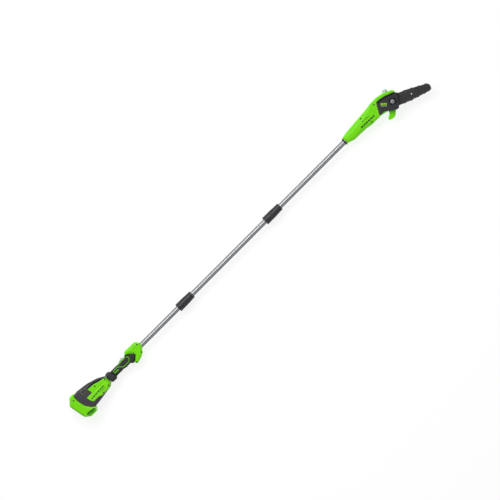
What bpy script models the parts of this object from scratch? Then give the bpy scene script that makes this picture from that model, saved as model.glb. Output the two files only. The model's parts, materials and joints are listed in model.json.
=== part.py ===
"""Battery pole saw: a handle with its battery, three pole sections and a saw head.

The saw lies on its left side. X runs along the poles towards the saw head, Y towards the tool's top
and Z up, towards its right side. Sizes are in millimetres, and MM turns them into metres.
An outline's corners are (x, y, fillet radius), in clockwise order.
"""

import math

import bmesh
import bpy
from mathutils import Matrix, Vector

MM = 0.001
GAP = 0.3
AXIS_HEIGHT = 50
WIDTH = 2 * AXIS_HEIGHT
FAR = 150

POLE_RADIUS = 14
POLE_WALL = 1.4
POLE_BORE = POLE_RADIUS + GAP
LOWER_POLE_START = 300.5
UPPER_POLE_END = 1955
CABLE_RADIUS = 2.5

COUPLER_STARTS = {1: 667, 2: 1305}
COUPLER_LENGTHS = {1: 102, 2: 110}
SLEEVE_REAR_RADIUS = 23.5
SLEEVE_FRONT_RADIUS = 20.5
SLEEVE_BORE = 17.8
COLLAR_RADIUS = 17.4
SPIGOT_RADIUS = 8.9
TUBE_END_IN_COUPLER = 45
NEXT_TUBE_IN_COUPLER = 79

BAY_MOUTH = (-83.5, -10)
BAY_TILT = math.radians(10.5)
BAY_HALF = 42.3
BAY_DEPTH = 102
PACK_HALF = 41.5
PACK_DEPTH = 90

SHELL_INSET = 3
GRIP_HALF_WIDTH = 18
POMMEL_HALF_WIDTH = 25
GUARD_HALF_WIDTH = 27
TRIGGER_PIVOT = (284, -15)

HEAD_TOP = 80
SPINDLE = (2164.6, -8.2)
BAR_ANGLE = math.radians(-22.9)
POCKET_FLOOR = 62
PAD_TOP = 66
BAR_LOW, BAR_HIGH = 66.3, 70.3
CHAIN_LOW, CHAIN_HIGH = 64.8, 71.8
CHAIN_HEIGHT = 8
BAR_HALF_HEIGHT = 24
NOSE_CENTRE = 244
NOSE_RADIUS = 13.8
STUD_REACH = 49.8
TENSION_OFFSET = -13
COVER_TOP = 92
COVER_WALL = 2.5

MOTOR_RADIUS = 18
MOTOR_START, MOTOR_END = 1985, 2056
GEAR_TEETH = 28
PINION_TEETH = 7
GEAR_MEAN_RADIUS = 27
SPROCKET_TEETH = 6
NOSE_TEETH = 6

BODY_SCREW = (75.4, 19.2)
SCREW_SIDE = 97
GUARD_SCREW = (382, 17)
HEAD_SCREWS = [(2032, 25), (2132, 28), (2062, -27)]

CAP_BASE = (2219, 31.5)
CAP_TILT = math.radians(23.5)
CAP_HEIGHT_Z = 42
CAP_RADIUS = 14.5

BAND = [(-92, 36, 8), (-60, 71, 10), (-32, 71, 8), (-39.5, 51, 12), (-39.5, 26, 12), (-30.7, -14, 14),
        (-13.5, -39.5, 16), (6, -58, 6), (-7, -79, 8), (-46, -78, 10), (-75, -56, 10)]
BODY = [(-50, 62, 5), (-8, 66.5, 30), (42, 60, 60), (83, 49, 40), (106, 42, 20), (128, 31, 14),
        (147, 20, 4), (148, -26, 4), (132, -39, 14), (104, -43, 30), (62, -50, 60), (22, -55, 20),
        (-50, -60, 5)]
BODY_CAVITY = [(-80, 34, 4), (-56, 61, 6), (-8, 61, 20), (42, 55, 50), (83, 44.5, 30), (106, 37, 16),
               (126, 26, 10), (141, 17, 3), (141, -21, 3), (129, -34, 10), (104, -38, 20),
               (62, -45, 40), (22, -50, 20), (0, -54, 8), (-14, -72, 6), (-44, -73, 6), (-68, -54, 6)]
PANEL = [(38, 34, 3), (78, 31, 10), (104, 23, 10), (126, 17.5, 4), (140, 12, 3), (140, -18, 3),
         (126, -30, 8), (104, -35, 10), (76, -40, 8), (68, -40, 3), (54, -32.8, 8), (18, -32.8, 5),
         (10, -22, 10), (3, 6, 3), (43, 6, 3)]
PANEL_REST_EDGE = -14
SIDE = [(-60, 100), (55, 100), (100, 88), (150, 72)]
POMMEL = [(149.5, 21, 5), (157, 25, 4), (172, 25, 5), (182, 16.5, 3), (192.3, -24, 3), (184, -34, 6),
          (160, -33, 6), (150.5, -27, 5)]
GRIP = [(128, 8, 1), (184.9, 8, 1), (182.9, 16, 3), (236, 16, 20), (262, 20, 15), (288, 20, 6),
        (294, 24.5, 1), (345, 0, 2), (345, -15, 2), (308.5, -38.5, 2), (300, -37, 6), (289, -26.5, 8),
        (240, -24, 20), (192.9, -24, 2), (190.4, -14, 1), (128, -14, 1)]
BESIDE_NECK = [(100, 9), (184.7, 9), (190.9, -16), (100, -16)]
GRIP_CAVITY = [(187, 12, 2), (236, 12, 10), (262, 16, 8), (290, 16, 3), (296, 12, 2), (296, -18, 2),
               (284, -21, 3), (240, -20, 6), (197, -20, 2), (193, -8, 2)]
GUARD = [(295, 25.5, 2), (309, 39, 7.5), (379, 37.5, 8), (397, 16, 8), (396, -3, 8), (382, -20, 12),
         (372, -33, 8), (349, -45, 14), (320, -53, 5), (309, -48, 4), (310, -39.5, 1), (324.5, -27, 10),
         (338, -15.6, 6), (337, -2, 6), (321, 9, 10)]
TRIGGER = [(240, -16, 2), (285, -11.5, 3), (288.3, -20, 3), (286, -26.5, 3), (262, -27.5, 12),
           (246, -24.6, 4), (241, -20, 3)]
LOCK_OFF = [(245, 14, 0.5), (245, 19.5, 2), (256, 23, 8), (268, 29.5, 3), (275.5, 29.5, 2),
            (276, 14, 0.5)]
HEAD = [(1893, 21, 3), (1912, 26, 10), (1934, 29.5, 20), (2018, 36, 60), (2101, 43, 60),
        (2122, 47, 10), (2165, 47, 20), (2202, 40, 20), (2248, 20, 9), (2258, 8, 9), (2252, -15, 14),
        (2222, -55, 12), (2200, -60, 12), (2160, -46, 20), (2125, -38, 14), (2055, -38, 30),
        (2018, -32, 40), (1934, -29, 20), (1908, -20, 12), (1893, -16, 3)]
GEAR_CAVITY = [(2102, 39, 6), (2122, 43, 8), (2165, 43, 16), (2200, 36, 16), (2246, 16.5, 6),
               (2254, 6, 6), (2248, -13.5, 10), (2220, -51, 8), (2201, -56, 8), (2161, -42, 16),
               (2126, -34, 10), (2102, -34, 6)]
MOTOR_CAVITY = [(1962, 27, 4), (2018, 32, 30), (2104, 39, 6), (2104, -34, 6), (2055, -34, 20),
                (2018, -28.5, 30), (1962, -26.8, 4)]
COVER = [(2148, 29, 5), (2171, 28, 12), (2202, 21, 16), (2248, 4, 8), (2262, -12, 7), (2224, -62, 10),
         (2213, -75, 6), (2199, -74, 8), (2171, -55, 12), (2146, -33.5, 10), (2111, -34.5, 5)]
TANK = [(2200, 28, 3), (2208, 28, 6), (2242, 14, 5), (2249, 4, 5), (2244, -13, 6), (2219, -46, 6),
        (2200, -50, 5)]
HOOK = [(2163, -48.6, 1), (2199, -61.4, 1), (2194, -73, 5), (2173, -91, 8), (2160, -93, 8),
        (2140, -88, 4), (2133, -79, 4), (2141, -71, 5), (2156, -64, 6), (2162, -56, 5)]
BAR = [(30, 12, 9), (47, BAR_HALF_HEIGHT, 12), (144, BAR_HALF_HEIGHT, 60),
       (NOSE_CENTRE + NOSE_RADIUS, 12.7, 12.6), (NOSE_CENTRE + NOSE_RADIUS, -12.7, 12.6),
       (144, -BAR_HALF_HEIGHT, 60), (47, -BAR_HALF_HEIGHT, 12), (30, -12, 9)]
CHAIN_PATH = [(-18, 18, 17.8), (45, 24.4, 60), (144, 24.4, 60), (258.2, 13.1, 12.9),
              (258.2, -13.1, 12.9), (144, -24.4, 60), (45, -24.4, 60), (-18, -18, 17.8)]

COLOURS = {
    "lime_plastic": ((0.22, 0.72, 0.01), 0.35, 0.0),
    "grey_plastic": ((0.065, 0.06, 0.075), 0.5, 0.0),
    "black_plastic": ((0.025, 0.025, 0.03), 0.5, 0.0),
    "soft_grip": ((0.03, 0.035, 0.03), 0.8, 0.0),
    "clear_grey": ((0.55, 0.57, 0.58), 0.3, 0.0),
    "aluminium": ((0.6, 0.62, 0.65), 0.35, 1.0),
    "steel": ((0.45, 0.45, 0.47), 0.35, 1.0),
    "dark_steel": ((0.07, 0.07, 0.075), 0.4, 0.8),
    "copper": ((0.7, 0.32, 0.16), 0.4, 1.0),
    "board_green": ((0.02, 0.2, 0.06), 0.5, 0.0),
    "rubber": ((0.015, 0.015, 0.015), 0.9, 0.0),
}


def clear_scene():
    for old in list(bpy.data.objects):
        bpy.data.objects.remove(old, do_unlink=True)


def new_collection(name):
    made = bpy.data.collections.new(name)
    bpy.context.scene.collection.children.link(made)
    return made


def finish_material(name):
    made = bpy.data.materials.get(name)
    if made:
        return made
    colour, roughness, metallic = COLOURS[name]
    made = bpy.data.materials.new(name)
    made.use_nodes = True
    shader = made.node_tree.nodes["Principled BSDF"]
    shader.inputs["Base Color"].default_value = (*colour, 1)
    shader.inputs["Roughness"].default_value = roughness
    shader.inputs["Metallic"].default_value = metallic
    return made


def new_object(name, mesh, finish=None):
    """A part when it has a finish, and a cutter when it has none."""
    made = bpy.data.objects.new(name, mesh)
    if finish:
        mesh.materials.append(finish_material(finish))
        parts.objects.link(made)
    else:
        made.hide_render = True
        made.display_type = "WIRE"
        cutters.objects.link(made)
    return made


def fillet(before, corner, after, steps):
    """Points of the arc that rounds one corner of an outline."""
    here = Vector(corner[:2])
    back, on = (Vector(before[:2]) - here), (Vector(after[:2]) - here)
    half = back.angle(on) / 2
    reach = corner[2] / math.tan(half)
    reach = min(reach, 0.48 * back.length, 0.48 * on.length)
    radius = reach * math.tan(half)
    back.normalize()
    on.normalize()
    centre = here + (back + on).normalized() * radius / math.sin(half)
    first, last = here + back * reach - centre, here + on * reach - centre
    turn = first.angle_signed(last)
    return [centre + Matrix.Rotation(-turn * k / steps, 2) @ first for k in range(steps + 1)]


def rounded(corners, steps=2):
    points = []
    for i, corner in enumerate(corners):
        points += fillet(corners[i - 1], corner, corners[(i + 1) % len(corners)], steps)
    return points


def offset(corners, distance):
    """The outline moved outwards by a distance, or inwards by a negative one."""
    moved = []
    for i, (x, y, radius) in enumerate(corners):
        here = Vector((x, y))
        before = (here - Vector(corners[i - 1][:2])).normalized()
        after = (Vector(corners[(i + 1) % len(corners)][:2]) - here).normalized()
        normal = Vector((-before.y - after.y, before.x + after.x)).normalized()
        stretch = 1 / max(normal.dot(Vector((-before.y, before.x))), 0.3)
        place = here + normal * distance * stretch
        convex = before.cross(after) < 0
        moved.append((place.x, place.y, max(radius + (distance if convex else -distance), 0.4)))
    return moved


def mesh_of_curve(curve, name):
    """A curve made a mesh, with its caps welded and each cap one face."""
    holder = bpy.data.objects.new(name, curve)
    bpy.context.scene.collection.objects.link(holder)
    bpy.context.view_layer.update()
    graph = bpy.context.evaluated_depsgraph_get()
    mesh = bpy.data.meshes.new_from_object(holder.evaluated_get(graph))
    bpy.data.objects.remove(holder, do_unlink=True)
    shape = bmesh.new()
    shape.from_mesh(mesh)
    bmesh.ops.remove_doubles(shape, verts=shape.verts, dist=1e-6)
    bmesh.ops.dissolve_limit(shape, angle_limit=0.002, verts=shape.verts, edges=shape.edges)
    bmesh.ops.recalc_face_normals(shape, faces=shape.faces)
    shape.to_mesh(mesh)
    shape.free()
    return mesh


def round_edges(target, width, segments=1):
    bevel = target.modifiers.new("round", "BEVEL")
    bevel.width = width * MM
    bevel.segments = segments
    bevel.limit_method = "ANGLE"
    bevel.angle_limit = math.radians(50)


def slab(name, corners, low, high, finish=None, bevel=0, place=(0, 0), turn=0, steps=2, points=None):
    """A flat outline with a thickness from low to high. The outline is drawn from place, turned."""
    outline = points or rounded(corners, steps)
    curve = bpy.data.curves.new(name, "CURVE")
    curve.dimensions = "2D"
    curve.fill_mode = "BOTH"
    curve.extrude = (high - low) / 2 * MM
    spline = curve.splines.new("POLY")
    spline.points.add(len(outline) - 1)
    spline.use_cyclic_u = True
    for point, (x, y) in zip(spline.points, outline):
        point.co = (x * MM, y * MM, 0, 1)
    made = new_object(name, mesh_of_curve(curve, name), finish)
    made.location = (place[0] * MM, place[1] * MM, (low + high) / 2 * MM)
    made.rotation_euler.z = turn
    if bevel:
        round_edges(made, bevel)
    return made


def box(name, x, y, z, finish=None, bevel=0, place=(0, 0), turn=0):
    """A box between pairs of limits, drawn from place and turned about Z."""
    shape = bmesh.new()
    bmesh.ops.create_cube(shape, size=1)
    size = [(high - low) * MM for low, high in (x, y, z)]
    middle = [(high + low) / 2 * MM for low, high in (x, y, z)]
    bmesh.ops.scale(shape, vec=size, verts=shape.verts)
    bmesh.ops.translate(shape, vec=middle, verts=shape.verts)
    mesh = bpy.data.meshes.new(name)
    shape.to_mesh(mesh)
    shape.free()
    made = new_object(name, mesh, finish)
    made.location = (place[0] * MM, place[1] * MM, 0)
    made.rotation_euler.z = turn
    if bevel:
        round_edges(made, bevel)
    return made


def side_prism(name, corners, y_low=-FAR, y_high=FAR):
    """A cutter whose outline is drawn in X and Z, and which runs along Y."""
    made = slab(name, None, y_low, y_high, points=corners)
    made.location = (0, (y_low + y_high) / 2 * MM, 0)
    made.rotation_euler.x = math.pi / 2
    return made


def turned(name, profile, place, aim, finish=None, steps=20):
    """A profile of (height, radius) turned about a line through place. It runs down its outer side."""
    mesh = bpy.data.meshes.new(name)
    closed = profile[0][1] > 0
    count = len(profile)
    edges = [(i, i + 1) for i in range(count - 1)] + ([(count - 1, 0)] if closed else [])
    mesh.from_pydata([(radius * MM, 0, height * MM) for height, radius in profile], edges, [])
    made = new_object(name, mesh, finish)
    made.location = Vector(place) * MM
    made.rotation_euler = Vector(aim).to_track_quat("Z", "Y").to_euler()
    screw = made.modifiers.new("turn", "SCREW")
    screw.steps = screw.render_steps = steps
    screw.use_merge_vertices = True
    screw.merge_threshold = 1e-5
    screw.use_smooth_shade = False
    return made


def ring_profile(low, high, outer, inner):
    return [(high, outer), (low, outer), (low, inner), (high, inner)]


def rod_profile(low, high, radius):
    return [(high, 0), (high, radius), (low, radius), (low, 0)]


def combine(target, other, operation="DIFFERENCE"):
    boolean = target.modifiers.new(f"{operation.lower()} {other.name}", "BOOLEAN")
    boolean.operation = operation
    boolean.solver = "EXACT"
    boolean.object = other


def cut(target, *others):
    for other in others:
        combine(target, other)


def hang_on_axis(name, place, *pieces):
    """Parents the moving pieces to an empty that stands on their joint's axis."""
    empty = bpy.data.objects.new(f"{name}_axis", None)
    empty.location = Vector(place) * MM
    parts.objects.link(empty)
    for piece in pieces:
        piece.parent = empty
        piece.matrix_parent_inverse = Matrix.Translation(-empty.location)


def on_bar(along, across=0):
    """The point that lies along and across the guide bar from the spindle."""
    reach = Matrix.Rotation(BAR_ANGLE, 2) @ Vector((along, across))
    return SPINDLE[0] + reach.x, SPINDLE[1] + reach.y


def in_bay(depth, across=0):
    """The point that lies a depth into the battery bay and across it."""
    reach = Matrix.Rotation(BAY_TILT, 2) @ Vector((depth, across))
    return BAY_MOUTH[0] + reach.x, BAY_MOUTH[1] + reach.y


def split_shell(name, blank, finish, *cuts):
    """The right and left halves of a casing, with a gap between them at the pole's axis."""
    for side, other in (("right", "left_half"), ("left", "right_half")):
        shell = new_object(f"{name}_{side}", blank.data.copy(), finish)
        shell.location = blank.location
        for modifier in blank.modifiers:
            round_edges(shell, modifier.width / MM, modifier.segments)
        cut(shell, bpy.data.objects[other], *cuts)


def beyond_side(name, shift, mirror):
    """A cutter for all that stands further out than the tapered side, moved inwards by shift."""
    line = [(x, z - shift) for x, z in SIDE] + [(SIDE[-1][0], FAR), (SIDE[0][0], FAR)]
    if mirror:
        line = [(x, WIDTH - z) for x, z in line]
    return side_prism(name, line)


def side_layer(name, shift, depth, mirror):
    outer = [(x, z - shift) for x, z in SIDE]
    line = outer + [(x, z - depth) for x, z in reversed(SIDE)]
    if mirror:
        line = [(x, WIDTH - z) for x, z in line]
    return side_prism(name, line)


def make_shared_cutters():
    long = (-200, 2500)
    box("left_half", long, (-FAR, FAR), (-FAR, AXIS_HEIGHT + GAP / 2))
    box("right_half", long, (-FAR, FAR), (AXIS_HEIGHT - GAP / 2, FAR))
    box("bay_space", (-15, BAY_DEPTH), (-BAY_HALF, BAY_HALF),
        (AXIS_HEIGHT - BAY_HALF, AXIS_HEIGHT + BAY_HALF), place=BAY_MOUTH, turn=BAY_TILT)
    space = slab("body_space", BODY_CAVITY, 5.5, WIDTH - 5.5)
    cut(space, *[beyond_side(f"body_wall_{mirror}", SHELL_INSET + 2.5, mirror) for mirror in (False, True)])
    box("neck_channel", (120, 196), (-14.4, 8.4), (AXIS_HEIGHT - 12.4, AXIS_HEIGHT + 12.4))


def make_battery_band():
    band = slab("battery_band", BAND, 0, WIDTH, "lime_plastic", bevel=7)
    cut(band, bpy.data.objects["body_space"], bpy.data.objects["bay_space"])


def make_body_shells():
    blank = slab("body_blank", BODY, 0, WIDTH, bevel=3.5)
    near_band = slab("band_clearance", offset(BAND, GAP), -10, WIDTH + 10)
    cuts = [near_band]
    for mirror in (False, True):
        cuts.append(beyond_side(f"body_side_{mirror}", SHELL_INSET, mirror))
    cuts += [bpy.data.objects[name] for name in ("body_space", "bay_space", "neck_channel")]
    split_shell("body_shell", blank, "grey_plastic", *cuts, screw_hole(*BODY_SCREW, SCREW_SIDE))


def make_side_panels():
    right = slab("side_panel_right", PANEL, AXIS_HEIGHT, WIDTH + 5, "lime_plastic")
    combine(right, side_layer("panel_layer_right", 0, SHELL_INSET - GAP, False), "INTERSECT")
    cut(right, screw_hole(*BODY_SCREW, SCREW_SIDE))
    rest = PANEL[:-2] + [(PANEL_REST_EDGE, 6, 3), (PANEL_REST_EDGE, 24, 3), (43, 24, 3)]
    left = slab("side_panel_left", rest, -5, AXIS_HEIGHT, "lime_plastic")
    combine(left, side_layer("panel_layer_left", 0, SHELL_INSET - GAP, True), "INTERSECT")


def make_battery():
    z = (AXIS_HEIGHT - PACK_HALF, AXIS_HEIGHT + PACK_HALF)
    pack = box("battery_pack", (1.5, PACK_DEPTH), (-PACK_HALF, PACK_HALF), z, "black_plastic", 6,
               BAY_MOUTH, BAY_TILT)
    pocket = box("button_pocket", (-5, 12), (21.5, 36.5), (33.5, 66.5), place=BAY_MOUTH, turn=BAY_TILT)
    cut(pack, pocket)
    button = box("release_button", (2, 8.5), (22, 36), (34, 66), "lime_plastic", 1.2, BAY_MOUTH,
                 BAY_TILT)
    hang_on_axis("battery", (*BAY_MOUTH, AXIS_HEIGHT), pack)
    hang_on_axis("release_button", (*in_bay(2, 29), AXIS_HEIGHT), button)


def make_battery_dock():
    half = BAY_HALF + 2.2
    dock = box("battery_dock", (62, BAY_DEPTH + 4), (-half, half), (6.2, WIDTH - 6.2), "black_plastic",
               0, BAY_MOUTH, BAY_TILT)
    window = box("dock_window", (BAY_DEPTH - 1, BAY_DEPTH + 9), (-20, 20), (35, 65),
                 place=BAY_MOUTH, turn=BAY_TILT)
    cut(dock, bpy.data.objects["bay_space"], window)
    box("terminal_block", (92, BAY_DEPTH + 8), (-19.6, 19.6), (35.4, 64.6), "black_plastic", 1,
        BAY_MOUTH, BAY_TILT)
    box("control_board", (46, 118), (-24, 20), (36, 38.5), "board_green")


def make_pommel_and_grip():
    pommel = slab("pommel_ring", POMMEL, AXIS_HEIGHT - POMMEL_HALF_WIDTH,
                  AXIS_HEIGHT + POMMEL_HALF_WIDTH, "black_plastic", bevel=3)
    cut(pommel, bpy.data.objects["neck_channel"])
    z = AXIS_HEIGHT - GRIP_HALF_WIDTH, AXIS_HEIGHT + GRIP_HALF_WIDTH
    blank = slab("grip_blank", GRIP, *z)
    neck_sides = [slab(f"beside_neck_{low}", None, low, high, points=BESIDE_NECK)
                  for low, high in ((0, AXIS_HEIGHT - 12), (AXIS_HEIGHT + 12, WIDTH))]
    cuts = neck_sides + [
        slab("guard_clearance", offset(GUARD, GAP), -10, WIDTH + 10),
        slab("grip_space", GRIP_CAVITY, AXIS_HEIGHT - 14, AXIS_HEIGHT + 14),
        box("neck_space", (100, 200), (-10.5, 4.5), (AXIS_HEIGHT - 8.5, AXIS_HEIGHT + 8.5)),
        box("trigger_slot", (238, 290.5), (-50, -15), (AXIS_HEIGHT - 8, AXIS_HEIGHT + 8)),
        box("lock_off_slot", (243.5, 277.5), (8, 50), (AXIS_HEIGHT - 7.5, AXIS_HEIGHT + 7.5)),
        pole_space("grip_bore", 290, 400),
    ]
    split_shell("grip", blank, "soft_grip", *cuts)


def make_guard():
    blank = slab("guard_blank", GUARD, AXIS_HEIGHT - GUARD_HALF_WIDTH, AXIS_HEIGHT + GUARD_HALF_WIDTH,
                 bevel=3.5)
    split_shell("guard", blank, "lime_plastic", pole_space("guard_bore", 290, 420),
                screw_hole(*GUARD_SCREW, AXIS_HEIGHT + GUARD_HALF_WIDTH))


def make_trigger_parts():
    low, high = AXIS_HEIGHT - 7.3, AXIS_HEIGHT + 7.3
    trigger = slab("trigger", TRIGGER, low, high, "black_plastic", bevel=1.5)
    pivot = (*TRIGGER_PIVOT, AXIS_HEIGHT)
    cut(trigger, turned("pin_hole", rod_profile(-30, 30, 1.9), pivot, (0, 0, 1), steps=12))
    turned("trigger_pin", rod_profile(-13, 13, 1.5), pivot, (0, 0, 1), "steel", 12)
    hang_on_axis("trigger", pivot, trigger)
    box("trigger_switch", (242, 274), (-3, 8), (AXIS_HEIGHT - 8, AXIS_HEIGHT + 8), "black_plastic", 0.6)
    lock = slab("lock_off_button", LOCK_OFF, AXIS_HEIGHT - 6.8, AXIS_HEIGHT + 6.8, "clear_grey",
                bevel=0.8)
    hang_on_axis("lock_off", (260, 14, AXIS_HEIGHT), lock)
    make_trigger_spring()


def make_trigger_spring(turns=4, points_per_turn=8, radius=3.2, low=-14.2, high=-4.0):
    route = []
    for k in range(turns * points_per_turn + 1):
        angle = math.tau * k / points_per_turn
        height = low + (high - low) * k / (turns * points_per_turn)
        route.append((250 + radius * math.cos(angle), height, AXIS_HEIGHT + radius * math.sin(angle)))
    wire("trigger_spring", route, 0.5, "steel", resolution=1)


def wire(name, route, radius, finish, resolution=2):
    curve = bpy.data.curves.new(name, "CURVE")
    curve.dimensions = "3D"
    curve.bevel_depth = radius * MM
    curve.bevel_resolution = resolution
    curve.use_fill_caps = True
    spline = curve.splines.new("POLY")
    spline.points.add(len(route) - 1)
    for point, place in zip(spline.points, route):
        point.co = (*(Vector(place) * MM), 1)
    return new_object(name, mesh_of_curve(curve, name), finish)


def pole_space(name, start, end):
    return turned(name, rod_profile(start, end, POLE_BORE), (0, 0, AXIS_HEIGHT), (1, 0, 0), steps=24)


def make_poles():
    first, second = COUPLER_STARTS[1], COUPLER_STARTS[2]
    runs = {"lower": (LOWER_POLE_START, first + TUBE_END_IN_COUPLER),
            "middle": (first + NEXT_TUBE_IN_COUPLER, second + TUBE_END_IN_COUPLER),
            "upper": (second + NEXT_TUBE_IN_COUPLER, UPPER_POLE_END)}
    for name, (start, end) in runs.items():
        profile = ring_profile(start, end, POLE_RADIUS, POLE_RADIUS - POLE_WALL)
        turned(f"{name}_pole", profile, (0, 0, AXIS_HEIGHT), (1, 0, 0), "aluminium", 24)


def make_cables():
    first, second = COUPLER_STARTS[1], COUPLER_STARTS[2]
    grip_route = [(121, -3, 50), (150, -3, 50), (185, -4, 48), (212, -1, 42), (238, 2, 39.3),
                  (280, 2, 39.3), (300, 1, 44), (325, 0, 50), (first + TUBE_END_IN_COUPLER - 6, 0, 50)]
    wire("lower_cable", grip_route, CABLE_RADIUS, "rubber")
    middle = [(first + 52, 0, 50), (second + TUBE_END_IN_COUPLER - 6, 0, 50)]
    wire("middle_cable", middle, CABLE_RADIUS, "rubber")
    wire("upper_cable", [(second + 52, 0, 50), (1950, 0, 50), (1978, -4, 50)], CABLE_RADIUS, "rubber")


def make_coupler(number):
    """A locking sleeve that turns on the socket of one pole and holds the plug of the next."""
    start, length = COUPLER_STARTS[number], COUPLER_LENGTHS[number]
    end, tube_end = start + length, start + TUBE_END_IN_COUPLER
    axis = ((0, 0, AXIS_HEIGHT), (1, 0, 0))
    socket = [(start + 68, COLLAR_RADIUS), (start + 23, COLLAR_RADIUS), (start + 23, POLE_BORE),
              (tube_end + GAP, POLE_BORE), (tube_end + GAP, SPIGOT_RADIUS + GAP),
              (start + 68, SPIGOT_RADIUS + GAP)]
    turned(f"coupler_{number}_socket", socket, *axis, "black_plastic")
    flange, tube = start + 71, start + NEXT_TUBE_IN_COUPLER - GAP
    bore = CABLE_RADIUS + 0.8
    plug = [(end - 2, COLLAR_RADIUS), (flange, COLLAR_RADIUS), (flange, SPIGOT_RADIUS),
            (start + 49, SPIGOT_RADIUS), (start + 49, bore), (tube, bore), (tube, POLE_BORE),
            (end - 2, POLE_BORE)]
    turned(f"coupler_{number}_plug", plug, *axis, "black_plastic")
    sleeve = [(end, SLEEVE_FRONT_RADIUS - 1.5), (end - 2, SLEEVE_FRONT_RADIUS),
              (start + 3, SLEEVE_REAR_RADIUS), (start, SLEEVE_REAR_RADIUS - 2.5),
              (start, POLE_BORE + 0.1), (start + 19, POLE_BORE + 0.1), (start + 19, SLEEVE_BORE),
              (end, SLEEVE_BORE)]
    made = turned(f"coupler_{number}_sleeve", sleeve, *axis, "black_plastic", 24)
    hang_on_axis(f"coupler_{number}", (start, 0, AXIS_HEIGHT), made)


def screw_hole(x, y, surface):
    """A counterbored hole for a screw that is driven in from the right side."""
    name = f"screw_hole_{round(x)}"
    found = bpy.data.objects.get(name)
    profile = [(20, 0), (20, 4), (-2.4, 4), (-2.4, 2), (-14, 2), (-14, 0)]
    return found or turned(name, profile, (x, y, surface), (0, 0, 1), steps=12)


def screw(name, x, y, surface):
    profile = [(-0.4, 0), (-0.4, 2.6), (-1, 3.5), (-2, 3.5), (-2, 1.6), (-12, 1.6), (-12, 0)]
    made = turned(name, profile, (x, y, surface), (0, 0, 1), "dark_steel", 12)
    slot = box(f"{name}_slot", (-2.2, 2.2), (-0.5, 0.5), (surface - 1.4, surface + 3), place=(x, y))
    cut(made, slot)


def make_screws():
    screw("body_screw", *BODY_SCREW, SCREW_SIDE)
    screw("guard_screw", *GUARD_SCREW, AXIS_HEIGHT + GUARD_HALF_WIDTH)
    for number, (x, y) in enumerate(HEAD_SCREWS, 1):
        screw(f"head_screw_{number}", x, y, HEAD_TOP)


def make_head_shells():
    blank = slab("head_blank", HEAD, 0, HEAD_TOP, bevel=5)
    left_relief = [(1870, -6), (1870, 28), (1910, 24), (2080, 18), (2112, -6)]
    right_relief = [(1870, 95), (1870, 70), (1905, 73), (1960, 83), (1960, 95)]
    spindle = (*SPINDLE, 0)
    cuts = [
        side_prism("motor_relief_left", left_relief),
        side_prism("motor_relief_right", right_relief),
        slab("cover_pocket", offset(COVER, 0.5), POCKET_FLOOR, WIDTH + 20),
        slab("motor_space", MOTOR_CAVITY, 22, 76),
        slab("gear_space", GEAR_CAVITY, 4, 56),
        box("pinion_space", (2095, 2146), (-18, 2), (50, 59.5)),
        pole_space("head_bore", 1880, 1956),
        turned("cable_way", rod_profile(1950, 1970, 8), (0, 0, AXIS_HEIGHT), (1, 0, 0), steps=16),
        turned("spindle_bore", [(80, 0), (80, 7), (61.8, 7), (61.8, 11.3), (50, 11.3), (50, 0)],
               spindle, (0, 0, 1)),
        turned("cap_opening", rod_profile(-12, 30, 13), (*CAP_BASE, CAP_HEIGHT_Z), cap_axis()),
    ]
    cuts += [screw_hole(x, y, HEAD_TOP) for x, y in HEAD_SCREWS]
    split_shell("head_shell", blank, "lime_plastic", *cuts)
    add_bar_pad()


def add_bar_pad():
    right = bpy.data.objects["head_shell_right"]
    pad = box("bar_pad", (38, 90), (-20, 20), (60, PAD_TOP), place=SPINDLE, turn=BAR_ANGLE)
    combine(right, pad, "UNION")
    channel = box("tension_channel", (56, 130), (TENSION_OFFSET - 3.6, TENSION_OFFSET + 3.6),
                  (57.5, 75), place=SPINDLE, turn=BAR_ANGLE)
    stud_hole = turned("stud_hole", rod_profile(56.2, 75, 4.3), (*on_bar(STUD_REACH), 0), (0, 0, 1))
    cut(right, channel, stud_hole)


def cap_axis():
    return math.sin(CAP_TILT), math.cos(CAP_TILT), 0


def make_neck_ring():
    profile = [(1892.4, 20), (1885, 17), (1885, POLE_BORE), (1892.4, POLE_BORE)]
    turned("neck_ring", profile, (0, 0, AXIS_HEIGHT), (1, 0, 0), "black_plastic")


def make_motor():
    y = SPINDLE[1]
    axis = ((0, y, AXIS_HEIGHT), (1, 0, 0))
    can = [(MOTOR_END, 5), (MOTOR_END, MOTOR_RADIUS), (MOTOR_START, MOTOR_RADIUS), (MOTOR_START, 5),
           (MOTOR_START + 2, 5), (MOTOR_START + 2, MOTOR_RADIUS - 2), (MOTOR_END - 2, MOTOR_RADIUS - 2),
           (MOTOR_END - 2, 5)]
    turned("motor_can", can, *axis, "dark_steel")
    shaft_end = SPINDLE[0] - GEAR_MEAN_RADIUS + 3.5
    rotor = [(shaft_end, 0), (shaft_end, 2), (MOTOR_END - 8, 2), (MOTOR_END - 8, 14),
             (MOTOR_START + 8, 14), (MOTOR_START + 8, 2), (MOTOR_START - 6, 2), (MOTOR_START - 6, 0)]
    turned("motor_rotor", rotor, *axis, "copper")
    plate = box("motor_plate", (MOTOR_END + 0.4, MOTOR_END + 4), (-23, 32), (24, 74), "aluminium", 1)
    cut(plate, turned("plate_bore", rod_profile(2000, 2100, 6), *axis, steps=16))


def toothed(teeth, root, tip, share=0.38):
    """Outline points of a simple gear whose teeth narrow towards their tips."""
    points = []
    for tooth in range(teeth):
        middle = -math.tau * tooth / teeth
        for radius, part in ((root, -share * 0.62), (tip, -share * 0.3), (tip, share * 0.3),
                             (root, share * 0.62)):
            angle = middle - math.tau / teeth * part
            points.append((radius * math.cos(angle), radius * math.sin(angle)))
    return points


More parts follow.
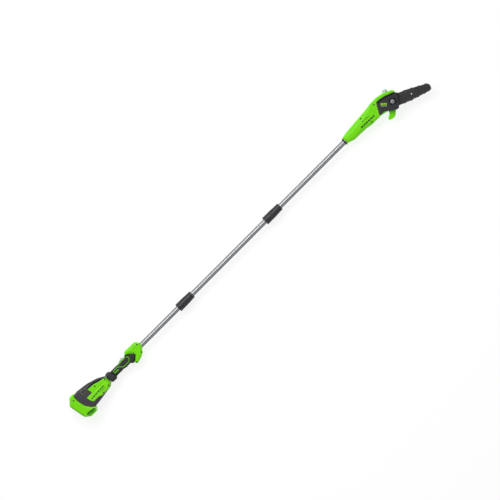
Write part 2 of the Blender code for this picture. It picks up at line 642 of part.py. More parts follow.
def make_pinion():
    pitch = GEAR_MEAN_RADIUS * PINION_TEETH / GEAR_TEETH
    middle = SPINDLE[0] - GEAR_MEAN_RADIUS
    made = slab("pinion", None, -3, 3, "steel", points=toothed(PINION_TEETH, pitch - 2, pitch + 1.6))
    # A gap between two teeth faces down, towards the gear, so the outline is turned half a tooth.
    made.location = Vector((middle, SPINDLE[1], AXIS_HEIGHT)) * MM
    down_gap = Matrix.Rotation(math.pi / PINION_TEETH, 4, "Z")
    made.rotation_euler = (Matrix.Rotation(math.pi / 2, 4, "Y") @ down_gap).to_euler()
    cut(made, turned("pinion_bore", rod_profile(2100, 2200, 2.3), (0, SPINDLE[1], AXIS_HEIGHT),
                     (1, 0, 0), steps=12))
    hang_on_axis("motor", (middle, SPINDLE[1], AXIS_HEIGHT), made, bpy.data.objects["motor_rotor"])


def make_face_gear(inner=23.5, outer=30.5, bottom=36):
    """A ring whose upper face carries radial teeth, made by stepping round it a quarter tooth at a time."""
    pitch_height = AXIS_HEIGHT - GEAR_MEAN_RADIUS * PINION_TEETH / GEAR_TEETH
    root, tip = pitch_height - 2, pitch_height + 1.6
    shape = bmesh.new()
    rings = []
    for tooth in range(GEAR_TEETH):
        for height, part in ((root, -0.235), (tip, -0.115), (tip, 0.115), (root, 0.235)):
            angle = math.pi + math.tau * (tooth + part) / GEAR_TEETH
            across = Vector((math.cos(angle), math.sin(angle), 0))
            rings.append([shape.verts.new((across * radius + Vector((0, 0, z))) * MM)
                          for radius, z in ((inner, bottom), (inner, height), (outer, height),
                                            (outer, bottom))])
    for i, ring in enumerate(rings):
        after = rings[(i + 1) % len(rings)]
        for k in range(4):
            shape.faces.new((ring[k], after[k], after[(k + 1) % 4], ring[(k + 1) % 4]))
    bmesh.ops.recalc_face_normals(shape, faces=shape.faces)
    mesh = bpy.data.meshes.new("face_gear")
    shape.to_mesh(mesh)
    shape.free()
    made = new_object("face_gear", mesh, "steel")
    made.location = (SPINDLE[0] * MM, SPINDLE[1] * MM, 0)
    hub = turned("gear_hub", ring_profile(34, 40, 24.5, 5.3), (*SPINDLE, 0), (0, 0, 1))
    combine(made, hub, "UNION")
    return made


def make_spindle_parts():
    place, up = (*SPINDLE, 0), (0, 0, 1)
    spindle = [(76, 0), (76, 4.4), (75, 5), (24, 5), (24, 0)]
    shaft = turned("spindle", spindle, place, up, "steel", 16)
    turned("spindle_bearing", ring_profile(56.3, 61.4, 11, 5.3), place, up, "steel")
    wheel = slab("drive_sprocket", None, 65.4, 71.2, "dark_steel", place=SPINDLE,
                 points=toothed(SPROCKET_TEETH, 11, 16, 0.6))
    cut(wheel, turned("sprocket_bore", rod_profile(50, 90, 5.3), place, up, steps=16))
    hang_on_axis("spindle", (*SPINDLE, PAD_TOP), shaft, wheel, make_face_gear())


def make_bar_and_chain():
    nose = (*on_bar(NOSE_CENTRE), 0)
    bar = slab("guide_bar", BAR, BAR_LOW, BAR_HIGH, "dark_steel", place=SPINDLE, turn=BAR_ANGLE, steps=5)
    slot = slab("bar_slot", [(42, 4.4, 4.2), (74, 4.4, 4.2), (74, -4.4, 4.2), (42, -4.4, 4.2)],
                60, 80, place=SPINDLE, turn=BAR_ANGLE)
    slit = turned("nose_slit", ring_profile(67.5, 69.1, 30, 4), nose, (0, 0, 1))
    peg_hole = turned("peg_hole", rod_profile(60, 80, 2.9), (*on_bar(66, TENSION_OFFSET), 0), (0, 0, 1),
                      steps=12)
    mark = turned("bar_hole", rod_profile(60, 80, 3), (*on_bar(158), 0), (0, 0, 1), steps=16)
    cut(bar, slot, slit, peg_hole, mark)
    wheel = slab("nose_sprocket", None, 67.8, 68.8, "steel", place=nose[:2],
                 points=toothed(NOSE_TEETH, 9, 13.2, 0.6))
    cut(wheel, turned("nose_bore", rod_profile(50, 90, 4.4), nose, (0, 0, 1), steps=16))
    chain = slab("saw_chain", offset(CHAIN_PATH, CHAIN_HEIGHT - 0.4), CHAIN_LOW, CHAIN_HIGH,
                 "dark_steel", place=SPINDLE, turn=BAR_ANGLE, steps=6)
    cut(chain, slab("chain_space", CHAIN_PATH, 50, 90, place=SPINDLE, turn=BAR_ANGLE, steps=6))
    hang_on_axis("bar", (*on_bar(STUD_REACH), BAR_LOW), bar, chain)
    hang_on_axis("nose_sprocket", (*nose[:2], BAR_LOW), wheel)


def make_tensioner():
    along = (math.cos(BAR_ANGLE), math.sin(BAR_ANGLE), 0)
    base = (*on_bar(0, TENSION_OFFSET), 61)
    profile = [(90, 0), (90, 3.2), (86, 3.2), (86, 2), (58, 2), (58, 0)]
    thread = turned("tension_screw", profile, base, along, "steel", 12)
    slot = box("tension_slot", (88, 95), (TENSION_OFFSET - 0.5, TENSION_OFFSET + 0.5), (50, 70),
               place=SPINDLE, turn=BAR_ANGLE)
    cut(thread, slot)
    y = (TENSION_OFFSET - 3.3, TENSION_OFFSET + 3.3)
    peg = box("tension_peg", (62, 70), y, (58, 65.5), "steel", 0, SPINDLE, BAR_ANGLE)
    pin = turned("peg_pin", rod_profile(63, 70, 2.5), (*on_bar(66, TENSION_OFFSET), 0), (0, 0, 1),
                 steps=12)
    combine(peg, pin, "UNION")
    cut(peg, turned("peg_thread", rod_profile(0, 120, 2.4), base, along, steps=12))
    turned("bar_stud", [(97, 0), (97, 3.2), (96, 4), (57, 4), (57, 0)], (*on_bar(STUD_REACH), 0),
           (0, 0, 1), "steel", 16)
    hang_on_axis("tension_screw", base, thread)
    hang_on_axis("tension_peg", (*on_bar(66, TENSION_OFFSET), 61), peg)


def make_sprocket_cover():
    cover = slab("sprocket_cover", COVER, POCKET_FLOOR + 0.4, COVER_TOP, "black_plastic", bevel=3)
    inner = slab("cover_space", offset(COVER, -COVER_WALL), 40, COVER_TOP - 5.8)
    mouth = box("bar_mouth", (55, 200), (-34.5, 34.5), (40, 76), place=SPINDLE, turn=BAR_ANGLE)
    recess = box("nut_recess", (-14, 14), (-14, 14), (COVER_TOP - 3.3, 120), place=on_bar(STUD_REACH),
                 turn=BAR_ANGLE)
    hole = turned("cover_hole", rod_profile(60, 120, 4.6), (*on_bar(STUD_REACH), 0), (0, 0, 1), steps=16)
    cut(cover, inner, mouth, recess, hole)
    nut_profile = ring_profile(COVER_TOP - 3, COVER_TOP - 0.6, 11.5, 4.3)
    nut = turned("bar_nut", nut_profile, (*on_bar(STUD_REACH), 0), (0, 0, 1), "steel")
    hexagon = [(7.5 * math.cos(math.tau * -k / 6), 7.5 * math.sin(math.tau * -k / 6)) for k in range(6)]
    head = slab("nut_hexagon", None, COVER_TOP - 2, COVER_TOP + 4, place=on_bar(STUD_REACH),
                points=hexagon)
    combine(nut, head, "UNION")
    cut(nut, turned("nut_bore", rod_profile(60, 120, 4.3), (*on_bar(STUD_REACH), 0), (0, 0, 1), steps=16))
    hang_on_axis("cover", (*on_bar(STUD_REACH), POCKET_FLOOR), cover)
    hang_on_axis("bar_nut", (*on_bar(STUD_REACH), COVER_TOP), nut)


def make_oil_parts():
    place, aim = (*CAP_BASE, CAP_HEIGHT_Z), cap_axis()
    tank = slab("oil_tank", TANK, 7, 53, "clear_grey")
    neck = turned("tank_neck", rod_profile(-16, -1, 12), place, aim)
    combine(tank, neck, "UNION")
    cut(tank, slab("tank_space", offset(TANK, -2.5), 9.5, 50.5),
        turned("neck_space_oil", rod_profile(-25, 10, 9.9), place, aim))
    cap = [(16, 0), (16, 12.5), (14.5, CAP_RADIUS), (1.6, CAP_RADIUS), (1.6, 9.4), (-6, 9.4), (-6, 0)]
    made = turned("oil_cap", cap, place, aim, "clear_grey")
    seal = turned("oil_cap_seal", ring_profile(-0.6, 1.2, 12.4, 9.7), place, aim, "rubber")
    hang_on_axis("oil_cap", place, made, seal)


def make_hook():
    slab("branch_hook", HOOK, AXIS_HEIGHT - 8, AXIS_HEIGHT + 8, "lime_plastic", bevel=2)


clear_scene()
parts = new_collection("pole_saw")
cutters = new_collection("cutters")
make_shared_cutters()
make_battery_band()
make_body_shells()
make_side_panels()
make_battery()
make_battery_dock()
make_pommel_and_grip()
make_guard()
make_trigger_parts()
make_poles()
make_cables()
make_coupler(1)
make_coupler(2)
make_neck_ring()
make_head_shells()
make_motor()
make_pinion()
make_spindle_parts()
make_bar_and_chain()
make_tensioner()
make_sprocket_cover()
make_oil_parts()
make_hook()
make_screws()
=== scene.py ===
"""Looks of a battery pole saw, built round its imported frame.

Run it in Blender 4.5. Each operator makes one piece or one group of like pieces. Lengths in the
outlines are millimetres in the frame's own axes, and MM turns them into metres. X runs along the
poles towards the saw head, Y towards the tool's top and Z up, towards its right side.
"""

import json
import math

import bmesh
import bpy
import numpy as np
from bpy.props import FloatProperty, FloatVectorProperty, IntProperty, PointerProperty
from mathutils import Matrix, Vector
from mathutils.geometry import delaunay_2d_cdt

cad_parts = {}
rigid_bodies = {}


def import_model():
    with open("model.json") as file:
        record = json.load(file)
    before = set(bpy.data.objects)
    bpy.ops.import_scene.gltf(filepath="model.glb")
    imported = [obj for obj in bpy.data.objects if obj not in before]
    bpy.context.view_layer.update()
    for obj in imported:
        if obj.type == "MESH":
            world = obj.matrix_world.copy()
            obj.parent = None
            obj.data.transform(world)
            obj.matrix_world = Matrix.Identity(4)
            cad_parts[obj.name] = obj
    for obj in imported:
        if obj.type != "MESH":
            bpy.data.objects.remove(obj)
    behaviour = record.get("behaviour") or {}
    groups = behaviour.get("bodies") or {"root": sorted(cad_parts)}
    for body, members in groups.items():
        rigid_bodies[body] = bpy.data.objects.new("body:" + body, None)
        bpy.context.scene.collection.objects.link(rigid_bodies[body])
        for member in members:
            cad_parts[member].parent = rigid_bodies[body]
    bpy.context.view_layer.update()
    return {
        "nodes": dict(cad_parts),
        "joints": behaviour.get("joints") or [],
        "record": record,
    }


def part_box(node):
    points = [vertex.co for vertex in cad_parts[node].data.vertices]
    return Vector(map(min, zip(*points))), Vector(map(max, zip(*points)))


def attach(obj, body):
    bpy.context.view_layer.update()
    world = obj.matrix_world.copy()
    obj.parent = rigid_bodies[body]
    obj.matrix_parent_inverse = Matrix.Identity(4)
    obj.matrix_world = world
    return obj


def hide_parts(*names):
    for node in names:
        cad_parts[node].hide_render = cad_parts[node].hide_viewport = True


bl_info = {
    "name": "Pole Saw Looks",
    "version": (1, 0, 0),
    "blender": (4, 5, 0),
    "location": "View3D > Sidebar > Pole Saw",
    "description": "Builds the visible pieces, materials and studio of a battery pole saw",
    "category": "Object",
}

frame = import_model()
JOINTS = {joint["name"]: joint for joint in frame["joints"]}
NODE_SLOTS = {row["node"]: row["material_slot"] for row in frame["record"]["subparts"]}

MM = 0.001
SHARP_ANGLE = math.radians(32)
UP, DOWN, FORWARD, BACK = (0, 0, 1), (0, 0, -1), (1, 0, 0), (-1, 0, 0)


def node_box(node):
    """The lowest and highest corners of a CAD node in millimetres."""
    low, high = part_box(node)
    return low / MM, high / MM


def pivot(joint):
    return Vector(JOINTS[joint]["pos_m"]) / MM


AXIS = sum(corner.z for corner in node_box("lower_pole")) / 2
POLE_RADIUS = (node_box("lower_pole")[1].z - node_box("lower_pole")[0].z) / 2
SPINDLE = pivot("spindle_spin")
BAR_ALONG = -Vector(JOINTS["bar_slide"]["axis"])
BAR_TURN = math.atan2(BAR_ALONG.y, BAR_ALONG.x)
BAY_ALONG = -Vector(JOINTS["battery_slide"]["axis"])
BAY_TURN = math.atan2(BAY_ALONG.y, BAY_ALONG.x)
CAP_AIM = Vector(JOINTS["cap_turn"]["axis"])
CAP_BASE = pivot("cap_turn")
NUT_PLACE = pivot("nut_turn")
BAY_MOUTH = Vector((-83.5, -10, AXIS))
BAY_HALF, BAY_DEPTH = 42.3, 102
GAP = 0.3
WELL_RADIUS, WELL_DEPTH, POST_RADIUS = 4.2, 1.5, 5.2
SCREW_STAND = 1.4
# Cutters that go right through reach from BELOW to ABOVE, and those through the bar from BAR_LOW.
BELOW, ABOVE = -20, 2 * AXIS + 20
BAR_LOW, BAR_HIGH = 60, 80

# Outlines: corners are (x, y, fillet radius), in clockwise order.
BAND = [(-92, 36, 8), (-60, 71, 10), (-32, 71, 8), (-39.5, 51, 12), (-39.5, 26, 12), (-30.7, -14, 14),
        (-13.5, -39.5, 16), (6, -58, 6), (-7, -79, 8), (-46, -78, 10), (-75, -56, 10)]
BODY = [(-50, 62, 5), (-8, 66.5, 30), (42, 60, 60), (83, 49, 40), (106, 42, 20), (128, 31, 14),
        (147, 20, 4), (148, -26, 4), (132, -39, 14), (104, -43, 30), (62, -50, 60), (22, -55, 20),
        (-50, -60, 5)]
BODY_ROOM = [(-80, 34, 4), (-56, 61, 6), (-8, 61, 20), (42, 55, 50), (83, 44.5, 30), (106, 37, 16),
             (126, 26, 10), (141, 17, 3), (141, -21, 3), (129, -34, 10), (104, -38, 20),
             (62, -45, 40), (22, -50, 20), (0, -54, 8), (-14, -72, 6), (-44, -73, 6), (-68, -54, 6)]
PANEL = [(38, 34, 3), (78, 31, 10), (104, 23, 10), (126, 18.5, 6), (147, 14, 3), (147.4, -23, 4),
         (130, -37.5, 8), (106, -40.5, 10), (68, -40, 3), (54, -32.8, 8), (18, -32.8, 5),
         (10, -22, 10), (3, 6, 3), (43, 6, 3)]
LEFT_PANEL = PANEL[:-2] + [(-14, 6, 3), (-14, 24, 3), (43, 24, 3)]
POMMEL = [(149.5, 21, 5), (157, 25, 4), (172, 25, 5), (182, 16.5, 3), (192.3, -24, 3), (184, -34, 6),
          (160, -33, 6), (150.5, -27, 5)]
GRIP = [(128, 8, 1), (184.9, 8, 1), (182.9, 16, 3), (236, 16, 20), (262, 20, 15), (288, 20, 6),
        (294, 24.5, 1), (345, 0, 2), (345, -15, 2), (308.5, -38.5, 2), (300, -37, 6), (289, -26.5, 8),
        (240, -24, 20), (192.9, -24, 2), (190.4, -14, 1), (128, -14, 1)]
GRIP_ROOM = [(187, 12, 2), (236, 12, 10), (262, 16, 8), (290, 16, 3), (296, 12, 2), (296, -18, 2),
             (284, -21, 3), (240, -20, 6), (197, -20, 2), (193, -8, 2)]
BESIDE_NECK = [(100, 9, 0.1), (184.7, 9, 0.1), (190.9, -16, 0.1), (100, -16, 0.1)]
GUARD = [(295, 25.5, 2), (309, 39, 7.5), (379, 37.5, 8), (397, 16, 8), (396, -3, 8), (382, -20, 12),
         (372, -33, 8), (349, -45, 14), (320, -53, 5), (309, -48, 4), (310, -39.5, 1), (324.5, -27, 10),
         (338, -15.6, 6), (337, -2, 6), (321, 9, 10)]
TRIGGER = [(240, -16, 2), (285, -11.5, 3), (288.3, -20, 3), (286, -26.5, 3), (262, -27.5, 12),
           (246, -24.6, 4), (241, -20, 3)]
LOCK_OFF = [(245, 14, 0.5), (245, 19.5, 2), (256, 23, 8), (268, 29.5, 3), (275.5, 29.5, 2),
            (276, 14, 0.5)]
HEAD = [(1893, 21, 3), (1912, 26, 10), (1934, 29.5, 20), (2018, 36, 60), (2101, 43, 60),
        (2122, 47, 10), (2165, 47, 20), (2202, 40, 20), (2248, 20, 9), (2258, 8, 9), (2252, -15, 14),
        (2222, -55, 12), (2200, -60, 12), (2160, -46, 20), (2125, -38, 14), (2055, -38, 30),
        (2018, -32, 40), (1934, -29, 20), (1908, -20, 12), (1893, -16, 3)]
GEAR_ROOM = [(2102, 39, 6), (2122, 43, 8), (2165, 43, 16), (2200, 36, 16), (2246, 16.5, 6),
             (2254, 6, 6), (2248, -13.5, 10), (2220, -51, 8), (2201, -56, 8), (2161, -42, 16),
             (2126, -34, 10), (2102, -34, 6)]
MOTOR_ROOM = [(1962, 27, 4), (2018, 32, 30), (2104, 39, 6), (2104, -34, 6), (2055, -34, 20),
              (2018, -28.5, 30), (1962, -26.8, 4)]
COVER = [(2148, 29, 5), (2171, 28, 12), (2202, 21, 16), (2248, 4, 8), (2262, -12, 7), (2224, -62, 10),
         (2213, -75, 6), (2199, -74, 8), (2171, -55, 12), (2146, -33.5, 10), (2111, -34.5, 5)]
HOOK = [(2163, -48.6, 1), (2199, -61.4, 1), (2194, -73, 5), (2173, -91, 8), (2160, -93, 8),
        (2140, -88, 4), (2133, -79, 4), (2141, -71, 5), (2156, -64, 6), (2162, -56, 5)]
# The bar and the chain are drawn from the spindle, along and across the bar.
BAR = [(30, 12, 9), (47, 24, 12), (144, 24, 60), (257.8, 12.7, 12.6), (257.8, -12.7, 12.6),
       (144, -24, 60), (47, -24, 12), (30, -12, 9)]
RIVET_LINE = [(-20, 21, 20.6), (45, 27.6, 60), (144, 27.6, 60), (261.4, 16, 15.9), (261.4, -16, 15.9),
              (144, -27.6, 60), (45, -27.6, 60), (-20, -21, 20.6)]

# Lines and places on the sides, as (x, y).
BAND_SCREWS = [(-47.3, -61.4), (-7.8, -62.9), (-54.6, 43.7)]
SCOOP = [(-46.5, -58.5), (-28, -62), (-11.5, -63.2)]
SCOOP_SHADE = [(-47, -53.4), (-28, -56.6), (-10.5, -58)]
BODY_SCREWS = [(75.4, 19.2), (137, 8.5), (129, -28), (84.5, -34.5)]
GUARD_SCREWS = [(382, 17), (370.2, -26), (318, -45.5)]
HEAD_SCREWS = [(2032, 25), (2132, 28), (2062, -27)]

# Side surfaces: heights of the right side at places along X, and the radius of the rim there.
BODY_SIDE = ([-60, 55, 100, 150], [97, 97, 85, 69])
BODY_RIM = ([-60, 0, 90, 150], [10, 12, 20, 17])
GRIP_SIDE = ([185, 215, 240, 300, 345], [66.5, 68, 67, 68, 68])
HEAD_SIDE = ([1893, 1905, 1960], [69, 73, 80])
HEAD_RIM = ([1893, 1960, 2060, 2112], [17, 27, 26, 9])
HEAD_FLOOR = ([1893, 1910, 2080, 2104], [25, 24, 18, 0])
HEAD_FLOOR_RIM = ([1893, 2080, 2130], [17, 16, 10])


# ---------------------------------------------------------------- outlines

def fillet(before, corner, after, steps):
    """Points of the arc that rounds one corner of an outline."""
    here = Vector(corner[:2])
    back, on = Vector(before[:2]) - here, Vector(after[:2]) - here
    half = back.angle(on) / 2
    reach = min(corner[2] / math.tan(half), 0.48 * back.length, 0.48 * on.length)
    radius = reach * math.tan(half)
    back.normalize()
    on.normalize()
    centre = here + (back + on).normalized() * radius / math.sin(half)
    first, last = here + back * reach - centre, here + on * reach - centre
    turn = first.angle_signed(last)
    return [centre + Matrix.Rotation(-turn * k / steps, 2) @ first for k in range(steps + 1)]


def rounded(corners, steps=8):
    points = []
    for i, corner in enumerate(corners):
        points += fillet(corners[i - 1], corner, corners[(i + 1) % len(corners)], steps)
    return points


def inward(points):
    """The inward normal at each point of a clockwise outline."""
    normals = []
    for i, here in enumerate(points):
        before = (here - points[i - 1]).normalized()
        after = (points[(i + 1) % len(points)] - here).normalized()
        normals.append(Vector((before.y + after.y, -before.x - after.x)).normalized())
    return normals


def grown(points, distance):
    """The outline moved outwards by a small distance."""
    return [point - normal * distance for point, normal in zip(points, inward(points))]


def strip(path, width, steps=6):
    """The clockwise outline of a band of this width along an open path, with round ends."""
    path = [Vector(point) for point in path]
    left, right = [], []
    for i, here in enumerate(path):
        along = (path[min(i + 1, len(path) - 1)] - path[max(i - 1, 0)]).normalized()
        across = Vector((-along.y, along.x)) * width / 2
        left.append(here + across)
        right.append(here - across)
    end = half_turn(path[-1], left[-1], steps)
    start = half_turn(path[0], right[0], steps)
    return left + end + right[::-1] + start


def blocks(start, end, lengths, gap, width):
    """Clockwise outlines of plain blocks in a row, where the tool would carry lettering."""
    start = Vector(start)
    along = (Vector(end) - start).normalized()
    across = Vector((-along.y, along.x)) * width / 2
    row, reached = [], 0.0
    for length in lengths:
        a, b = start + along * reached, start + along * (reached + length)
        row.append(rounded([(*corner, 0.9) for corner in (a + across, b + across, b - across, a - across)],
                           3))
        reached += length + gap
    return row


def half_turn(centre, first, steps):
    arm = first - centre
    return [centre + Matrix.Rotation(-math.pi * k / steps, 2) @ arm for k in range(1, steps)]


def smooth_path(points, steps=6):
    """A curve through the points, as a list of closer points."""
    points = [Vector(point) for point in points]
    route = []
    for i in range(len(points) - 1):
        a, b, c, d = (points[max(0, min(len(points) - 1, i + k))] for k in (-1, 0, 1, 2))
        for k in range(steps):
            t = k / steps
            route.append(0.5 * (2 * b + (c - a) * t + (2 * a - 5 * b + 4 * c - d) * t * t
                                + (3 * b - a - 3 * c + d) * t ** 3))
    return route + [points[-1]]


def on_bar(along, across=0):
    """The point that lies along and across the guide bar from the spindle."""
    reach = Matrix.Rotation(BAR_TURN, 2) @ Vector((along, across))
    return Vector((SPINDLE.x + reach.x, SPINDLE.y + reach.y))


def bar_outline(corners, steps=8):
    return [on_bar(*point) for point in rounded(corners, steps)]


def depths(points, outline):
    """How far inside a clockwise outline each point lies. It is negative outside."""
    spots = np.array(points, float).reshape(-1, 1, 2)
    a = np.array(outline, float)[None]
    along = np.roll(a, -1, axis=1) - a
    share = ((spots - a) * along).sum(-1) / np.maximum((along ** 2).sum(-1), 1e-12)
    gap = np.linalg.norm(spots - a - np.clip(share, 0, 1)[..., None] * along, axis=-1).min(1)
    rising = along[..., 1] + np.where(abs(along[..., 1]) < 1e-12, 1e-12, 0)
    crossed = (a[..., 1] > spots[..., 1]) != (a[..., 1] + along[..., 1] > spots[..., 1])
    where = a[..., 0] + (spots[..., 1] - a[..., 1]) / rising * along[..., 0]
    inside = (crossed & (spots[..., 0] < where)).sum(1) % 2 == 1
    return np.where(inside, gap, -gap)


def level(profile):
    """A function of x that reads a list of places and a list of values."""
    return lambda x: np.interp(x, *profile)


def rim_drop(depth, radius):
    """How far a rounded rim of this radius falls below its face, at a depth inside the outline."""
    inside = np.clip(depth, 0, radius)
    return radius - np.sqrt(np.maximum(radius ** 2 - (radius - inside) ** 2, 0))


class Form:
    """An outline whose side surface has a rounded rim, on which other pieces can be laid."""

    def __init__(self, outline, side, rim):
        self.outline = outline
        self.side = side if callable(side) else lambda x, y: np.full(np.shape(x), float(side))
        self.rim = rim if callable(rim) else lambda x: np.full(np.shape(x), float(rim))

    def surface(self, x, y, depth):
        return self.side(x, y) - rim_drop(depth, self.rim(x))

    def height(self, x, y):
        x, y = np.atleast_1d(np.asarray(x, float)), np.atleast_1d(np.asarray(y, float))
        return self.surface(x, y, depths(np.stack([x, y], -1), self.outline))

    def raised(self, rise, rim=0.6):
        """The top of a piece that stands this far proud of the surface, with a rim of its own."""
        return lambda x, y, depth: self.height(x, y) + rise - rim_drop(depth, rim)

    def sunk(self, below):
        return lambda x, y, depth: self.height(x, y) - below


class Lifted(Form):
    """A form whose surface stands a little further out."""

    def __init__(self, form, rise):
        super().__init__(form.outline, lambda x, y: form.side(x, y) + rise, form.rim)


# ---------------------------------------------------------------- meshes

def mesh_from(shape, name):
    bmesh.ops.remove_doubles(shape, verts=shape.verts, dist=0.004)
    bmesh.ops.recalc_face_normals(shape, faces=shape.faces)
    bmesh.ops.scale(shape, vec=(MM, MM, MM), verts=shape.verts)
    mesh = bpy.data.meshes.new(name)
    shape.to_mesh(mesh)
    shape.free()
    return mesh


def new_object(name, mesh):
    made = bpy.data.objects.new(name, mesh)
    bpy.context.scene.collection.objects.link(made)
    return made


def closely(outline, longest):
    """The outline with more points on its straight stretches, so that no two lie far apart."""
    points = []
    for here, following in zip(outline, outline[1:] + outline[:1]):
        here, following = Vector(here), Vector(following)
        parts = max(1, math.ceil((following - here).length / longest))
        points += [here.lerp(following, k / parts) for k in range(parts)]
    return points


def solid(name, outline, top, bottom, rim=0.0, grid=8.0, rows=6):
    """A closed solid over an outline. top and bottom give z from x, y and depth inside the outline.

    Rows of points follow the outline across its rim, and a net of them fills the rest.
    """
    outline = closely(outline, grid)
    spots = list(outline)
    normals = inward(outline)
    rim = rim if callable(rim) else (lambda x, r=rim: r)
    for k in range(1, rows + 1):
        share = 1 - math.cos(math.pi / 2 * k / rows)
        row = [(point + normal * float(rim(point.x)) * share, float(rim(point.x)) * share)
               for point, normal in zip(outline, normals)]
        inside = depths([point for point, _ in row], outline)
        # A row's point that came nearer to another stretch of the outline is left out.
        spots += [point for (point, wanted), got in zip(row, inside) if got > 0.97 * wanted > 0.05]
    low = np.min(np.array(outline), axis=0)
    high = np.max(np.array(outline), axis=0)
    net = [Vector((x, y)) for x in np.arange(low[0] + grid / 2, high[0], grid)
           for y in np.arange(low[1] + grid / 2, high[1], grid)]
    if net:
        inside = depths(net, outline)
        spots += [point for point, got in zip(net, inside) if got > float(rim(point.x)) + grid * 0.4]
    count = len(outline)
    edges = [(i, (i + 1) % count) for i in range(count)]
    points, _, faces, *_ = delaunay_2d_cdt(spots, edges, [], 1, 1e-4)
    places = np.array([point[:] for point in points])
    depth = depths(places, outline)
    upper = top(places[:, 0], places[:, 1], depth)
    lower = bottom(places[:, 0], places[:, 1], depth)
    shape = bmesh.new()
    above = [shape.verts.new((x, y, z)) for (x, y), z in zip(places, upper)]
    below = [shape.verts.new((x, y, z)) for (x, y), z in zip(places, lower)]
    for face in faces:
        shape.faces.new([above[i] for i in face])
        shape.faces.new([below[i] for i in reversed(face)])
    twin = dict(zip(above, below))
    for edge in [edge for edge in shape.edges if edge.is_boundary and edge.verts[0] in twin]:
        a, b = edge.verts
        shape.faces.new((a, b, twin[b], twin[a]))
    return new_object(name, mesh_from(shape, name))


def flat(height):
    return lambda x, y, depth: np.full(np.shape(x), float(height))


def mirrored(surface, middle=None):
    """The surface of the other side."""
    twice = 2 * (AXIS if middle is None else middle)
    return lambda x, y, depth: twice - surface(x, y, depth)


def prism(outline, low, high, name="cutter"):
    return solid(name, outline, flat(high), flat(low), rows=0, grid=1e4)


def box(x, y, z, place=(0, 0), turn=0.0, name="cutter"):
    """A box between pairs of limits, drawn from place and turned about Z."""
    shape = bmesh.new()
    bmesh.ops.create_cube(shape, size=1)
    size = [high - low for low, high in (x, y, z)]
    middle = [(high + low) / 2 for low, high in (x, y, z)]
    bmesh.ops.scale(shape, vec=size, verts=shape.verts)
    bmesh.ops.translate(shape, vec=middle, verts=shape.verts)
    move = Matrix.Translation((place[0], place[1], 0)) @ Matrix.Rotation(turn, 4, "Z")
    bmesh.ops.transform(shape, matrix=move, verts=shape.verts)
    return new_object(name, mesh_from(shape, name))


def turned(profile, place, aim, sides=48, name="cutter", lobes=0, lobe_depth=0.0):
    """A profile of (height, radius, ...) turned about a line. It is a ring when no radius is zero."""
    shape = bmesh.new()
    to_place = Matrix.Translation(Vector(place)) @ Vector(aim).to_track_quat("Z", "Y").to_matrix().to_4x4()
    rings = []
    for height, radius in profile:
        if radius == 0:
            rings.append([shape.verts.new(to_place @ Vector((0, 0, height)))])
            continue
        ring = []
        for k in range(sides):
            angle = math.tau * k / sides
            wave = lobe_depth * (0.5 - 0.5 * math.cos(lobes * angle)) if lobes else 0
            reach = radius - wave
            ring.append(shape.verts.new(to_place @ Vector((reach * math.cos(angle),
                                                           reach * math.sin(angle), height))))
        rings.append(ring)
    pairs = list(zip(rings, rings[1:]))
    if len(rings[0]) > 1 and len(rings[-1]) > 1:
        pairs.append((rings[-1], rings[0]))
    for first, second in pairs:
        for k in range(sides):
            corners = [first[k % len(first)], first[(k + 1) % len(first)],
                       second[(k + 1) % len(second)], second[k % len(second)]]
            corners = list(dict.fromkeys(corners))
            if len(corners) > 2:
                shape.faces.new(corners)
    return new_object(name, mesh_from(shape, name))


def rod(low, high, radius, place, aim=UP, sides=32):
    return turned([(high, 0), (high, radius), (low, radius), (low, 0)], place, aim, sides)


def plain_mesh(target):
    """Turns the object's evaluated mesh into its own mesh, and drops its modifiers."""
    graph = bpy.context.evaluated_depsgraph_get()
    mesh = bpy.data.meshes.new_from_object(target.evaluated_get(graph))
    old = target.data
    target.modifiers.clear()
    target.data = mesh
    if old.users == 0:
        bpy.data.meshes.remove(old)
    return target


def combine(target, others, operation="DIFFERENCE"):
    """Cuts the others from the target, or joins or intersects them, and removes the others."""
    for other in others:
        boolean = target.modifiers.new("combine", "BOOLEAN")
        boolean.operation = operation
        boolean.solver = "EXACT"
        boolean.object = other
    plain_mesh(target)
    for other in others:
        bpy.data.objects.remove(other, do_unlink=True)
    return target


def join(name, pieces):
    """One object that holds the meshes of all the pieces, each with its own material."""
    shape = bmesh.new()
    slots = []
    for piece in pieces:
        held = piece.data.materials[0] if piece.data.materials else None
        if held not in slots:
            slots.append(held)
        before = len(shape.faces)
        shape.from_mesh(piece.data)
        shape.faces.ensure_lookup_table()
        for face in shape.faces[before:]:
            face.material_index = slots.index(held)
        bpy.data.objects.remove(piece, do_unlink=True)
    mesh = bpy.data.meshes.new(name)
    shape.to_mesh(mesh)
    shape.free()
    for held in slots:
        if held:
            mesh.materials.append(held)
    return new_object(name, mesh)


def painted(piece, material):
    piece.data.materials.clear()
    piece.data.materials.append(material)
    return piece


def placed(piece, body, nodes=(), finish=None):
    """Gives a piece its finish and its body, and hides the CAD nodes that it stands for."""
    if finish:
        painted(piece, finish_of(finish))
    shape = bmesh.new()
    shape.from_mesh(piece.data)
    bmesh.ops.recalc_face_normals(shape, faces=shape.faces)
    shape.to_mesh(piece.data)
    shape.free()
    piece.data.shade_smooth()
    piece.data.set_sharp_from_angle(angle=SHARP_ANGLE)
    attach(piece, body)
    if nodes:
        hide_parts(*nodes)
    return piece


# ---------------------------------------------------------------- finishes

